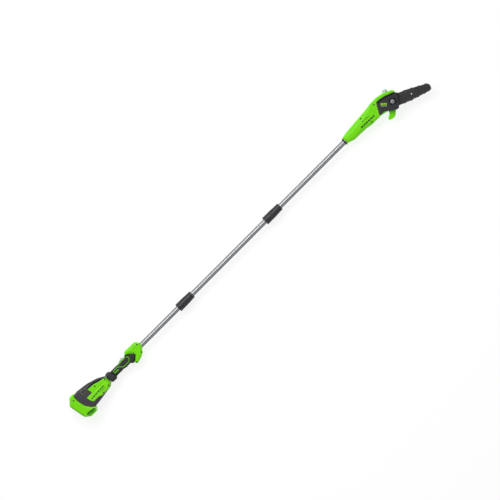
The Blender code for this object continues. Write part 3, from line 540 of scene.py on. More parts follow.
# Each finish: two tones that it mottles between, the lighter tone of its edges (wear and painted highlight)
# and how far it shows, roughness, metallic share, grain and mottle in features per metre,
# relief and stretch of the grain.
FINISHES = {
    "lime_plastic": dict(tones=((0.17, 0.74, 0.0), (0.21, 0.84, 0.0)), edge=(0.45, 0.9, 0.05),
                         edge_rub_and_highlight_share=0.35, roughness=0.34, shine=0.25, grain=1500, mottle=25, relief=0.10),
    "grey_plastic": dict(tones=((0.034, 0.030, 0.040), (0.045, 0.040, 0.052)), edge=(0.16, 0.16, 0.18),
                         edge_rub_and_highlight_share=0.5, roughness=0.46, grain=1700, mottle=30, relief=0.22),
    "black_plastic": dict(tones=((0.014, 0.014, 0.018), (0.021, 0.021, 0.026)), edge=(0.11, 0.11, 0.12),
                          edge_rub_and_highlight_share=0.5, roughness=0.42, grain=1500, mottle=30, relief=0.18),
    "soft_grip": dict(tones=((0.016, 0.021, 0.016), (0.024, 0.030, 0.024)), edge=(0.07, 0.08, 0.07),
                      edge_rub_and_highlight_share=0.4, roughness=0.72, grain=2600, mottle=40, relief=0.45),
    "clear_grey": dict(tones=((0.66, 0.69, 0.70), (0.76, 0.79, 0.80)), edge=(0.9, 0.92, 0.92), edge_rub_and_highlight_share=0.4,
                       roughness=0.30, grain=900, mottle=30, relief=0.05, clear=0.12),
    "aluminium": dict(tones=((0.29, 0.295, 0.305), (0.35, 0.355, 0.365)), edge=(0.8, 0.8, 0.82), edge_rub_and_highlight_share=0.4,
                      roughness=0.36, metallic=1.0, grain=2400, mottle=12, relief=0.12,
                      stretch=(0.02, 1, 1)),
    "steel": dict(tones=((0.42, 0.42, 0.44), (0.52, 0.52, 0.54)), edge=(0.75, 0.75, 0.77), edge_rub_and_highlight_share=0.6,
                  roughness=0.32, metallic=1.0, grain=1200, mottle=60, relief=0.10),
    "dark_steel": dict(tones=((0.030, 0.030, 0.032), (0.048, 0.048, 0.050)), edge=(0.35, 0.35, 0.36),
                       edge_rub_and_highlight_share=0.7, roughness=0.40, metallic=0.4, grain=1400, mottle=45, relief=0.16),
    "copper": dict(tones=((0.60, 0.27, 0.13), (0.74, 0.35, 0.18)), edge=(0.9, 0.55, 0.35), edge_rub_and_highlight_share=0.4,
                   roughness=0.38, metallic=1.0, grain=3000, mottle=80, relief=0.3, stretch=(1, 0.05, 1)),
    "board_green": dict(tones=((0.015, 0.16, 0.05), (0.03, 0.24, 0.07)), edge=(0.3, 0.35, 0.2), edge_rub_and_highlight_share=0.3,
                        roughness=0.4, grain=600, mottle=200, relief=0.1),
    # Near black and nearly matt: the cover's real rubber ridge, and the painted shadow in the body's vent
    # grooves and the cover's recess.
    "rubber": dict(tones=((0.006, 0.006, 0.006), (0.010, 0.010, 0.010)), edge=(0.03, 0.03, 0.03),
                   edge_rub_and_highlight_share=0.3, roughness=0.85, shine=0.2, grain=1800, mottle=40, relief=0.3),
    "strap_rubber": dict(tones=((0.050, 0.048, 0.054), (0.080, 0.077, 0.085)), edge=(0.14, 0.14, 0.15),
                         edge_rub_and_highlight_share=0.4, roughness=0.65, shine=0.3, grain=1600, mottle=60, relief=0.5),
    # Lime darkened as painted shade, for the floors of the band's scoops.
    "deep_lime": dict(tones=((0.030, 0.27, 0.004), (0.045, 0.34, 0.006)), edge=(0.2, 0.6, 0.05), edge_rub_and_highlight_share=0.3,
                      roughness=0.4, shine=0.25, grain=1500, mottle=30, relief=0.1),
    "faded_yellow": dict(tones=((0.10, 0.12, 0.035), (0.14, 0.17, 0.045)), edge=(0.25, 0.3, 0.1), edge_rub_and_highlight_share=0.3,
                         roughness=0.5, grain=1500, mottle=60, relief=0.1),
    # Moss green: the printed marks, and the painted shade along the band's rear edge and in its scoops.
    "moss_plastic": dict(tones=((0.014, 0.075, 0.004), (0.022, 0.10, 0.006)), edge=(0.08, 0.2, 0.03),
                         edge_rub_and_highlight_share=0.4, roughness=0.5, grain=1500, mottle=30, relief=0.15),
    # Pale lime: the cover's printed marks, and painted highlights along the head pocket's edge and the
    # label's edge.
    "pale_lime": dict(tones=((0.40, 0.86, 0.03), (0.48, 0.92, 0.05)), edge=(0.7, 0.95, 0.3), edge_rub_and_highlight_share=0.3,
                      roughness=0.38, grain=1500, mottle=30, relief=0.08),
    "studio_floor": dict(tones=((0.24, 0.24, 0.24), (0.26, 0.26, 0.26)), edge=(0.9, 0.9, 0.9), edge_rub_and_highlight_share=0.0,
                         roughness=0.8, grain=60, mottle=1.5, relief=0.02),
}


def add_node(tree, kind, inputs=(), **settings):
    made = tree.nodes.new(kind)
    for name, value in settings.items():
        setattr(made, name, value)
    for name, value in dict(inputs).items():
        if isinstance(value, bpy.types.NodeSocket):
            tree.links.new(value, made.inputs[name])
        else:
            made.inputs[name].default_value = value
    return made


def mix_colours(tree, share, first, second):
    made = add_node(tree, "ShaderNodeMix", data_type="RGBA")
    for socket, value in ((made.inputs[0], share), (made.inputs[6], first), (made.inputs[7], second)):
        if isinstance(value, bpy.types.NodeSocket):
            tree.links.new(value, socket)
        else:
            socket.default_value = (*value, 1)
    return made.outputs[2]


def finish_of(name):
    """A finish's material: mottled tones, lighter edges (wear, painted highlight), uneven gloss, fine moulded
    grain.
    """
    found = bpy.data.materials.get(f"looks_{name}")
    if found:
        return found
    look = FINISHES[name]
    settings = bpy.context.scene.pole_saw_finish
    material = bpy.data.materials.new(f"looks_{name}")
    material.use_nodes = True
    tree = material.node_tree
    shader = tree.nodes["Principled BSDF"]
    place = add_node(tree, "ShaderNodeTexCoord").outputs["Object"]
    mapped = add_node(tree, "ShaderNodeMapping", {"Vector": place, "Scale": look.get("stretch", (1, 1, 1))})
    mottle = add_node(tree, "ShaderNodeTexNoise", {"Vector": place, "Scale": look["mottle"], "Detail": 4.0})
    grain = add_node(tree, "ShaderNodeTexNoise",
                     {"Vector": mapped.outputs[0], "Scale": look["grain"], "Detail": 2.0})
    tone = mix_colours(tree, mottle.outputs[0], *look["tones"])
    softened = add_node(tree, "ShaderNodeBevel", {"Radius": settings.edge_softness}, samples=4)
    # At every edge, where the softened normal turns from the true one, the tone is lightened towards the edge
    # tone: partly wear, partly a painted highlight.
    facing = add_node(tree, "ShaderNodeVectorMath", operation="DOT_PRODUCT")
    tree.links.new(softened.outputs[0], facing.inputs[0])
    tree.links.new(add_node(tree, "ShaderNodeNewGeometry").outputs["Normal"], facing.inputs[1])
    edge_rub_and_highlight = add_node(tree, "ShaderNodeMapRange", {"Value": facing.outputs["Value"], "From Min": 0.99,
                                                "From Max": 0.85, "To Max": look["edge_rub_and_highlight_share"] * settings.edge_rub_and_highlight_share})
    tree.links.new(mix_colours(tree, edge_rub_and_highlight.outputs[0], tone, look["edge"]), shader.inputs["Base Color"])
    gloss = add_node(tree, "ShaderNodeMapRange", {"Value": mottle.outputs[0], "From Min": 0.3,
                                                 "From Max": 0.7, "To Min": look["roughness"] - 0.05,
                                                 "To Max": look["roughness"] + 0.05})
    tree.links.new(gloss.outputs[0], shader.inputs["Roughness"])
    relief = add_node(tree, "ShaderNodeBump", {"Strength": look["relief"], "Distance": settings.grain_depth,
                                              "Height": grain.outputs[0], "Normal": softened.outputs[0]})
    tree.links.new(relief.outputs[0], shader.inputs["Normal"])
    shader.inputs["Metallic"].default_value = look.get("metallic", 0.0)
    shader.inputs["Transmission Weight"].default_value = look.get("clear", 0.0)
    shader.inputs["Specular IOR Level"].default_value = look.get("shine", 0.5)
    return material


# ---------------------------------------------------------------- geometry nodes

def new_group(name, sockets):
    tree = bpy.data.node_groups.new(name, "GeometryNodeTree")
    tree.interface.new_socket("Geometry", in_out="INPUT", socket_type="NodeSocketGeometry")
    for label, kind in sockets:
        tree.interface.new_socket(label, in_out="INPUT", socket_type=kind)
    tree.interface.new_socket("Geometry", in_out="OUTPUT", socket_type="NodeSocketGeometry")
    return tree


def end_group(tree, instances, material):
    real = add_node(tree, "GeometryNodeRealizeInstances", {0: instances})
    coloured = add_node(tree, "GeometryNodeSetMaterial", {"Geometry": real.outputs[0], "Material": material})
    add_node(tree, "NodeGroupOutput", {"Geometry": coloured.outputs[0]})


def repeat_group():
    """Puts a piece on each point, its Z along the point's aim and its X along the point's run."""
    found = bpy.data.node_groups.get("repeat_on_points")
    if found:
        return found
    tree = new_group("repeat_on_points", [("Piece", "NodeSocketObject"), ("Spin", "NodeSocketFloat"),
                                          ("Seed", "NodeSocketInt"), ("Material", "NodeSocketMaterial")])
    given = add_node(tree, "NodeGroupInput").outputs
    aim = add_node(tree, "GeometryNodeInputNamedAttribute", {"Name": "aim"}, data_type="FLOAT_VECTOR")
    run = add_node(tree, "GeometryNodeInputNamedAttribute", {"Name": "run"}, data_type="FLOAT_VECTOR")
    turn = add_node(tree, "FunctionNodeAxesToRotation", {0: aim.outputs[0], 1: run.outputs[0]},
                    primary_axis="Z", secondary_axis="X")
    piece = add_node(tree, "GeometryNodeObjectInfo", {"Object": given["Piece"], "As Instance": True})
    put = add_node(tree, "GeometryNodeInstanceOnPoints",
                   {"Points": given["Geometry"], "Instance": piece.outputs["Geometry"],
                    "Rotation": turn.outputs[0]})
    chance = add_node(tree, "FunctionNodeRandomValue", {"Seed": given["Seed"]}, data_type="FLOAT")
    amount = add_node(tree, "ShaderNodeMath", {0: chance.outputs[1], 1: given["Spin"]}, operation="MULTIPLY")
    spin = add_node(tree, "FunctionNodeAxisAngleToRotation", {"Axis": (0, 0, 1), "Angle": amount.outputs[0]})
    spun = add_node(tree, "GeometryNodeRotateInstances", {0: put.outputs[0], "Rotation": spin.outputs[0]})
    end_group(tree, spun.outputs[0], given["Material"])
    return tree


def chain_group():
    """Puts the links of a collection in turn on evenly spaced points of a closed curve."""
    tree = new_group("chain_on_loop", [("Links", "NodeSocketCollection"), ("Count", "NodeSocketInt"),
                                       ("Kinds", "NodeSocketInt"), ("Material", "NodeSocketMaterial")])
    given = add_node(tree, "NodeGroupInput").outputs
    even = add_node(tree, "GeometryNodeResampleCurve", {"Curve": given["Geometry"], "Count": given["Count"]})
    links = add_node(tree, "GeometryNodeCollectionInfo", {"Collection": given["Links"],
                                                         "Separate Children": True,
                                                         "Reset Children": True})
    along = add_node(tree, "GeometryNodeInputTangent")
    turn = add_node(tree, "FunctionNodeAxesToRotation", {0: (0, 0, 1), 1: along.outputs[0]},
                    primary_axis="Z", secondary_axis="X")
    index = add_node(tree, "GeometryNodeInputIndex")
    kind = add_node(tree, "FunctionNodeIntegerMath", {0: index.outputs[0], 1: given["Kinds"]},
                    operation="MODULO")
    put = add_node(tree, "GeometryNodeInstanceOnPoints",
                   {"Points": even.outputs[0], "Instance": links.outputs[0], "Pick Instance": True,
                    "Instance Index": kind.outputs[0], "Rotation": turn.outputs[0]})
    end_group(tree, put.outputs[0], given["Material"])
    return tree


def run_group(holder, tree, values):
    """Runs a node group on an object with these named inputs, and keeps only the mesh it makes."""
    modifier = holder.modifiers.new(tree.name, "NODES")
    modifier.node_group = tree
    sockets = {item.name: item.identifier for item in tree.interface.items_tree if item.in_out == "INPUT"}
    for name, value in values.items():
        modifier[sockets[name]] = value
    holder.update_tag()
    bpy.context.view_layer.update()
    graph = bpy.context.evaluated_depsgraph_get()
    mesh = bpy.data.meshes.new_from_object(holder.evaluated_get(graph))
    name = holder.name
    bpy.data.objects.remove(holder, do_unlink=True)
    return new_object(name, mesh)


def repeated(name, piece, spots, finish, spin=0.0, seed=7):
    """Copies of a piece at spots of (place, aim, run), as one mesh. The piece itself is removed."""
    mesh = bpy.data.meshes.new(name)
    mesh.from_pydata([Vector(place) * MM for place, _, _ in spots], [], [])
    for label, column in (("aim", 1), ("run", 2)):
        held = mesh.attributes.new(label, "FLOAT_VECTOR", "POINT")
        held.data.foreach_set("vector", [value for spot in spots for value in spot[column]])
    made = run_group(new_object(name, mesh), repeat_group(),
                     {"Piece": piece, "Spin": spin, "Seed": seed, "Material": finish_of(finish)})
    bpy.data.objects.remove(piece, do_unlink=True)
    made.name = name
    return made


# ---------------------------------------------------------------- forms and cutters

FORMS = {
    "band": Form(rounded(BAND), node_box("battery_band")[1].z, 12),
    "body": Form(rounded(BODY), lambda x, y: np.interp(x, *BODY_SIDE), level(BODY_RIM)),
    "pommel": Form(rounded(POMMEL), lambda x, y: pommel_side(x, y), 13),
    "grip": Form(rounded(GRIP), lambda x, y: np.interp(x, *GRIP_SIDE), 15),
    "guard": Form(rounded(GUARD), node_box("guard_right")[1].z, 16),
    "trigger": Form(rounded(TRIGGER), node_box("trigger")[1].z, 4),
    "lock_off": Form(rounded(LOCK_OFF), node_box("lock_off_button")[1].z, 2.5),
    "head": Form(rounded(HEAD), lambda x, y: np.interp(x, *HEAD_SIDE), level(HEAD_RIM)),
    "head_floor": Form(rounded(HEAD), lambda x, y: -np.interp(x, *HEAD_FLOOR), level(HEAD_FLOOR_RIM)),
    "cover": Form(rounded(COVER), node_box("sprocket_cover")[1].z, 5),
    "hook": Form(rounded(HOOK), node_box("branch_hook")[1].z, 5),
}
SIDES = ("right", "left")


def pommel_side(x, y, top=75.0, pitch=9.0, groove=1.3):
    """The pommel's side, with shallow grooves that lean as its front edge does."""
    along = x + 0.38 * y - 150
    return top - groove * (0.5 + 0.5 * np.cos(math.tau * along / pitch))


def half_casing(name, form, side):
    """The right or left half of a casing, up to the gap between the halves."""
    middle = flat(AXIS + GAP / 2 if side == "right" else AXIS - GAP / 2)
    top, bottom = (form.surface, middle) if side == "right" else (middle, mirrored(form.surface))
    return solid(name, form.outline, top, bottom, form.rim)


def whole_casing(name, form, middle=None, grid=8.0):
    return solid(name, form.outline, form.surface, mirrored(form.surface, middle), form.rim, grid)


def laid(name, outline, form, side, rise, rim=0.6, below=0.3, grid=5.0, rows=3):
    """A piece that follows a form's side, from this far below the side to its rise above it."""
    return solid(name, outline, *ordered(form.raised(rise, rim), form.sunk(below), side), rim, grid, rows)


def ordered(upper, lower, side):
    return (upper, lower) if side == "right" else (mirrored(lower), mirrored(upper))


def sunk_slot(outline, form, side, depth):
    """A cutter for a groove that follows a form's side."""
    upper, lower = ordered(flat(AXIS + 120), form.sunk(depth), side)
    return solid("cutter", outline, upper, lower, 0, 5.0, 1)


def bay_room():
    return box((-15, BAY_DEPTH), (-BAY_HALF, BAY_HALF), (AXIS - BAY_HALF, AXIS + BAY_HALF),
               BAY_MOUTH.xy, BAY_TURN)


def room(corners, low, high, upper, lower=None, wall=3.0):
    """A cutter for the space inside a casing, which keeps a wall under the rounded rims."""
    def top(x, y, depth):
        return np.minimum(high, upper.height(x, y) - wall)

    def bottom(x, y, depth):
        if lower:
            return np.maximum(low, wall - lower.height(x, y))
        return np.maximum(low, 2 * AXIS - upper.height(x, y) + wall)

    return solid("cutter", rounded(corners, 3), top, bottom, 12.0, 6.0, 4)


class BodyAndBand:
    """The side of the body and the band together."""

    def height(self, x, y):
        band = FORMS["band"]
        in_band = depths(np.stack([x, y], -1), band.outline) > 0
        return np.where(in_band, band.height(x, y), FORMS["body"].height(x, y))


def body_room():
    return room(BODY_ROOM, 5.5, 2 * AXIS - 5.5, BodyAndBand())


def neck_room():
    return box((120, 196), (-14.4, 8.4), (AXIS - 12.4, AXIS + 12.4))


def pole_room(start, end):
    return rod(start, end, POLE_RADIUS + GAP, (0, 0, AXIS), FORWARD, 64)


def well_floor(form, x, y):
    """Height of the flat floor of a screw well, which lies below the surface all round it."""
    turns = np.arange(8) * math.tau / 8
    edge = form.height(x + WELL_RADIUS * np.cos(turns), y + WELL_RADIUS * np.sin(turns))
    return float(edge.min()) - WELL_DEPTH


def upright(low, high, radius, x, y, side):
    """A round cutter or post that stands on the right side, or hangs below the left one."""
    z = (low, high) if side == "right" else (2 * AXIS - high, 2 * AXIS - low)
    return rod(*z, radius, (x, y, 0), sides=24)


def screw_wells(spots, form, side, deeper=0.0):
    """Cutters for the flat-bottomed wells that screw heads sit in."""
    return [upright(well_floor(form, x, y) - deeper, ABOVE, WELL_RADIUS, x, y, side) for x, y in spots]


def screw_posts(spots, form, side):
    """The posts inside a casing that carry its screws."""
    return [upright(AXIS + 4, well_floor(form, x, y), POST_RADIUS, x, y, side) for x, y in spots]


def screw_head():
    """A countersunk screw head with a round socket. Its top is at the origin."""
    profile = [(-1.4, 0), (-1.4, 1.5), (-0.2, 1.6), (0, 2.0), (-0.1, 3.0), (-0.6, 3.5), (-1.8, 3.4),
               (-1.8, 0)]
    return turned(profile, (0, 0, 0), UP, 12)


def screw_spots(spots, form, side):
    """Places and directions for screw heads that stand in their wells."""
    found = []
    for x, y in spots:
        z = well_floor(form, x, y) + SCREW_STAND
        right = side == "right"
        found.append(((x, y, z if right else 2 * AXIS - z), UP if right else DOWN, FORWARD))
    return found


def spots_along(path, form, side, pitch, lift):
    """Places at even steps along a path on a form's side, each aimed along the surface normal."""
    spots, walked, due = [], 0.0, pitch / 2
    for a, b in zip(path, path[1:]):
        step = (b - a).length
        while walked + step >= due:
            x, y = a.lerp(b, (due - walked) / step)
            z, ahead, behind, above, below = form.height([x, x + 1, x - 1, x, x], [y, y, y, y + 1, y - 1])
            aim = Vector(((behind - ahead) / 2, (below - above) / 2, 1)).normalized()
            place = Vector((x, y, z)) + aim * lift
            if side == "left":
                place.z, aim.z = 2 * AXIS - place.z, -aim.z
            spots.append((place, aim, Vector((-(b - a).y, (b - a).x, 0)).normalized()))
            due += pitch
        walked += step
    return spots


# ---------------------------------------------------------------- settings

class PoleSawFinishSettings(bpy.types.PropertyGroup):
    edge_softness: FloatProperty(name="Edge softness", description="Radius that edges are shaded with",
                                 default=0.0009, unit="LENGTH")
    grain_depth: FloatProperty(name="Grain depth", description="Depth of the moulded grain",
                               default=0.0002, unit="LENGTH")
    # How far the edges are lightened, as wear and as painted highlight.
    edge_rub_and_highlight_share: FloatProperty(name="Wear", description="How far worn edges show", default=0.8, min=0, max=1)


class PoleSawCasingSettings(bpy.types.PropertyGroup):
    panel_rise: FloatProperty(name="Panel rise", description="Height of the lime panels on the body, mm",
                              default=1.7)
    label_rise: FloatProperty(name="Label rise", description="Height of the label plate, mm", default=0.8)
    trim_rise: FloatProperty(name="Trim rise", description="Height of the grip's lime trim, mm",
                             default=0.7)
    trim_width: FloatProperty(name="Trim width", description="Width of the grip's lime trim, mm",
                              default=2.8)


class PoleSawChainSettings(bpy.types.PropertyGroup):
    pitch: FloatProperty(name="Pitch", description="Distance between rivets, mm", default=9.525)
    kinds: IntProperty(name="Kinds", description="Links in one repeat of the chain", default=8)


class PoleSawStageSettings(bpy.types.PropertyGroup):
    aim: FloatVectorProperty(name="Aim", description="The point that the camera looks down at",
                             default=(1.144, -0.050, 0.05), subtype="XYZ", unit="LENGTH")
    view_width: FloatProperty(name="View width", description="Width of what the camera sees",
                              default=2.6, unit="LENGTH")
    camera_height: FloatProperty(name="Camera height", description="How high the camera hangs",
                                 default=12.0, unit="LENGTH")
    roll: FloatProperty(name="Roll", description="Turn of the camera about its line of sight",
                        default=math.radians(-45), subtype="ANGLE")
    sky: FloatProperty(name="Sky", description="Strength of the even light", default=0.38)
    key: FloatProperty(name="Key", description="Power of the key light, W", default=100)
    second: FloatProperty(name="Second", description="Power of the second light, W", default=10)
    floor_glow: FloatProperty(name="Floor glow", description="Light that the floor gives off",
                              default=0.8)


# ---------------------------------------------------------------- operators

class PieceOperator:
    bl_options = {"REGISTER", "UNDO"}

    def execute(self, context):
        self.make(context.scene.pole_saw_casing)
        return {"FINISHED"}


class POLESAW_OT_battery_band(PieceOperator, bpy.types.Operator):
    """Makes the lime band round the battery's mouth, with its scooped recesses"""
    bl_idname = "polesaw.battery_band"
    bl_label = "Battery Band"

    def make(self, casing):
        form = FORMS["band"]
        top = 2 * AXIS
        band = whole_casing("band", form)
        cutters = [body_room(), bay_room()]
        cutters += [prism(strip(smooth_path(SCOOP), 17), *z) for z in ((top - 3.4, top + 9), (-9, 3.4))]
        for side in SIDES:
            cutters += screw_wells(BAND_SCREWS[2:], form, side)
        placed(combine(band, cutters), "handle", nodes=["battery_band"], finish="lime_plastic")
        for side in SIDES:
            # Each scoop gets a darker lime floor plate, painted shade in the recess, and a moss strip along
            # its upper edge, a painted shadow.
            height = (top - 3.2, top - 2.4) if side == "right" else (2.4, 3.2)
            floor = prism(strip(smooth_path(SCOOP), 16.6), *height, name=f"band_scoop_{side}")
            placed(floor, "handle", finish="deep_lime")
            height = (top - 3.0, top - 1.4) if side == "right" else (1.4, 3.0)
            shade = prism(strip(smooth_path(SCOOP_SHADE), 5.4), *height, name=f"scoop_shade_{side}")
            placed(shade, "handle", finish="moss_plastic")
            # A moss strip along the band's rear edge is painted shade there.
            edge = [(-86.5, 24), (-80.5, -6), (-71, -46)]
            painted_edge_strip = laid(f"band_lip_{side}", strip(smooth_path(edge), 2.6), form, side, 0.5, 0.5, 2.0, 2.0)
            placed(painted_edge_strip, "handle", finish="moss_plastic")


class POLESAW_OT_body_shells(PieceOperator, bpy.types.Operator):
    """Makes the dark halves of the body, with the vent grooves above the panels and black painted shadow in
    them
    """
    bl_idname = "polesaw.body_shells"
    bl_label = "Body Shells"

    def make(self, casing):
        form = FORMS["body"]
        vent = strip(smooth_path([(50, 38.8), (80, 36.0), (104, 28.2), (120, 22.6)]), 7.2)
        for side in SIDES:
            shell = half_casing(f"body_{side}", form, side)
            cutters = [prism(grown(rounded(BAND), GAP), BELOW, ABOVE), body_room(), bay_room(),
                       neck_room(), sunk_slot(vent, form, side, 1.8)]
            cutters += screw_wells(BODY_SCREWS, form, side)
            placed(combine(shell, cutters), "handle", nodes=[f"body_shell_{side}"], finish="grey_plastic")
            # A black sheet in the vent groove paints the shadow in it.
            shade = laid(f"body_vent_{side}", vent, form, side, -1.4, 0, 1.9, 4.0)
            placed(shade, "handle", finish="rubber")
            ridge = smooth_path([(20, 57), (52, 53.5), (85, 43), (108, 36), (127, 26), (144, 14)])
            strap = laid(f"body_strap_{side}", strip(ridge, 8.5), form, side, 1.4, 1.4)
            placed(strap, "handle", finish="strap_rubber")
            rib = turned([(-3.4, 0), (-3.4, 0.5), (-2.8, 0.9), (2.8, 0.9), (3.4, 0.5), (3.4, 0)], (0, 0, 0),
                         FORWARD, 8)
            ribs = repeated(f"strap_ribs_{side}", rib, spots_along(ridge, form, side, 3.4, 1.3),
                            "strap_rubber")
            placed(ribs, "handle")
            frame_outer = [(1, 57, 8), (33, 55, 8), (34, 29, 8), (-1, 29, 8)]
            frame_inner = [(3.5, 54.4, 6), (30.5, 52.6, 6), (31.5, 31.4, 6), (2, 31.4, 6)]
            badge = laid(f"body_badge_{side}", rounded(frame_outer), form, side, 0.5, 0.4)
            combine(badge, [prism(rounded(frame_inner), BELOW, ABOVE)])
            placed(badge, "handle", finish="faded_yellow")
        collar = box((148.15, 149.35), (-16, 10), (AXIS - 14.5, AXIS + 14.5), name="neck_washer")
        combine(collar, [box((140, 160), (-14.3, 8.3), (AXIS - 12.3, AXIS + 12.3))])
        placed(collar, "handle", finish="steel")


class POLESAW_OT_side_panels(PieceOperator, bpy.types.Operator):
    """Makes the lime side panels and the plain label plates on them"""
    bl_idname = "polesaw.side_panels"
    bl_label = "Side Panels"

    def make(self, casing):
        form = FORMS["body"]
        label = [(9, 1.5, 4), (128, -2, 5), (132, -14, 5), (120, -25, 8), (102, -30, 8), (76, -34.5, 6),
                 (69, -34.5, 4), (56, -27.5, 6), (22, -27.5, 5), (15, -19, 6)]
        top = Lifted(form, casing.panel_rise)
        for side in SIDES:
            outline = rounded(PANEL if side == "right" else LEFT_PANEL)
            panel = laid(f"panel_{side}", outline, form, side, casing.panel_rise, 1.4, -0.15)
            seam = strip([(46, 5.2), (90, 4.6), (136, 2.5)], 1.3)
            cutters = [sunk_slot(seam, top, side, 1.0)]
            inside = [spot for spot in BODY_SCREWS if depths([spot], outline)[0] > 0]
            cutters += screw_wells(inside, form, side, 2.0)
            placed(combine(panel, cutters), "handle", nodes=[f"side_panel_{side}"], finish="lime_plastic")
            plate = laid(f"label_{side}", rounded(label), top, side, casing.label_rise, 0.9, 0.3)
            placed(plate, "handle", finish="lime_plastic")
            # A pale lime ring round the label plate's edge is a painted highlight.
            edge_highlight_ring = laid(f"label_border_{side}", rounded(label), top, side, casing.label_rise + 0.35, 0.5)
            combine(edge_highlight_ring, [prism(grown(rounded(label), -2.0), BELOW, ABOVE)])
            placed(edge_highlight_ring, "handle", finish="pale_lime")
            rows = blocks((17, -16.4), (118, -9.8), (10, 15, 12, 16, 11, 14), 3, 6.2)
            rows += blocks((78, -22.5), (112, -20.4), (9, 12, 7), 2.4, 2.4)
            ink = [laid("mark", block, top, side, casing.label_rise + 0.12, 0.05, -casing.label_rise + 0.3)
                   for block in rows]
            placed(join(f"label_marks_{side}", ink), "handle", finish="moss_plastic")


class POLESAW_OT_battery(PieceOperator, bpy.types.Operator):
    """Makes the battery with its end ribs, and its release button"""
    bl_idname = "polesaw.battery"
    bl_label = "Battery"

    def make(self, casing):
        half, length = 41.5, 90
        outline = [(1.5, -half, 9), (1.5, half, 9), (length, half, 9), (length, -half, 9)]
        flat_form = Form(rounded(outline), AXIS + half, 7)
        pack = whole_casing("pack", flat_form)
        z = (AXIS - 16.5, AXIS + 16.5)
        combine(pack, [box((-5, 12), (21.5, 36.5), z)])
        rib = box((-12, 12), (-0.9, 0.9), (-1.5, 0.9))
        spots = [((1.5, -30 + 6 * k, AXIS), BACK, UP) for k in range(8)]
        ribs = repeated("battery_ribs", rib, spots, "black_plastic")
        rib = box((-10, 10), (-0.7, 0.7), (-1.5, 0.5))
        spots = [((2.4, 25 + 2.7 * k, AXIS), BACK, UP) for k in range(4)]
        treads = repeated("release_treads", rib, spots, "lime_plastic")
        button_form = Form(rounded([(2, 22, 3), (2, 36, 3), (8.5, 36, 1), (8.5, 22, 1)]), AXIS + 16, 2)
        button = whole_casing("button", button_form, grid=4)
        move = Matrix.Translation(BAY_MOUTH.xy.to_3d() * MM) @ Matrix.Rotation(BAY_TURN, 4, "Z")
        for piece in (pack, ribs, treads, button):
            piece.data.transform(move)
        placed(pack, "battery", nodes=["battery_pack"], finish="black_plastic")
        placed(ribs, "battery")
        placed(button, "release_button", nodes=["release_button"], finish="lime_plastic")
        placed(treads, "release_button")


class POLESAW_OT_pommel(PieceOperator, bpy.types.Operator):
    """Makes the grooved ring between the body and the grip"""
    bl_idname = "polesaw.pommel"
    bl_label = "Pommel Ring"

    def make(self, casing):
        form = FORMS["pommel"]
        ring = solid("pommel", form.outline, form.surface, mirrored(form.surface), form.rim, grid=1.5,
                     rows=8)
        combine(ring, [neck_room()])
        placed(ring, "handle", nodes=["pommel_ring"], finish="black_plastic")
        for side in SIDES:
            eye = laid(f"pommel_eye_{side}", strip([(157, 13), (160, 13.5)], 8), form, side, 0.9, 0.8)
            placed(eye, "handle", finish="dark_steel")


class POLESAW_OT_grip(PieceOperator, bpy.types.Operator):
    """Makes the halves of the soft grip, with their lime trim lines"""
    bl_idname = "polesaw.grip"
    bl_label = "Grip"

    def make(self, casing):
        form = FORMS["grip"]
        for side in SIDES:
            shell = half_casing(f"grip_half_{side}", form, side)
            cutters = [prism(rounded(BESIDE_NECK, 1), *z) for z in ((0, AXIS - 12), (AXIS + 12, 2 * AXIS))]
            cutters += [
                prism(grown(rounded(GUARD), GAP), -10, 2 * AXIS + 10),
                room(GRIP_ROOM, AXIS - 14, AXIS + 14, form),
                box((100, 200), (-10.5, 4.5), (AXIS - 8.5, AXIS + 8.5)),
                box((238, 290.5), (-50, -15), (AXIS - 8, AXIS + 8)),
                box((243.5, 277.5), (8, 50), (AXIS - 7.5, AXIS + 7.5)),
                pole_room(290, 400),
            ]
            placed(combine(shell, cutters), "handle", nodes=[f"grip_{side}"], finish="soft_grip")
            self.make_trims(form, side, casing)

    def make_trims(self, form, side, casing):
        line = smooth_path([(194, 6.2), (212, 6.2), (228, 5.6), (240, -4), (251, -13.5), (272, -14.6),
                            (290, -13.8), (300, -6), (302.5, 3.5), (298, 13)])
        short = smooth_path([(194, -5.9), (222, -5.9)], 3)
        crest = smooth_path([(236, 12.2), (262, 14.8), (290, 15.2)], 4)
        trims = [laid("trim", strip(path, width), form, side, casing.trim_rise, 0.6, 0.4, 3.0)
                 for path, width in ((line, casing.trim_width), (short, 4.4), (crest, 3.6))]
        placed(join(f"grip_trim_{side}", trims), "handle", finish="lime_plastic")


class POLESAW_OT_guard(PieceOperator, bpy.types.Operator):
    """Makes the lime guard in front of the grip"""
    bl_idname = "polesaw.guard"
    bl_label = "Guard"

    def make(self, casing):
        form = FORMS["guard"]
        seam = strip(smooth_path([(312, 22.4), (340, 21.6), (372, 20), (391, 13)]), 1.4)
        for side in SIDES:
            shell = half_casing(f"guard_half_{side}", form, side)
            cutters = [pole_room(280, 420), sunk_slot(seam, form, side, 1.0)]
            cutters += screw_wells(GUARD_SCREWS, form, side)
            placed(combine(shell, cutters), "handle", nodes=[f"guard_{side}"], finish="lime_plastic")


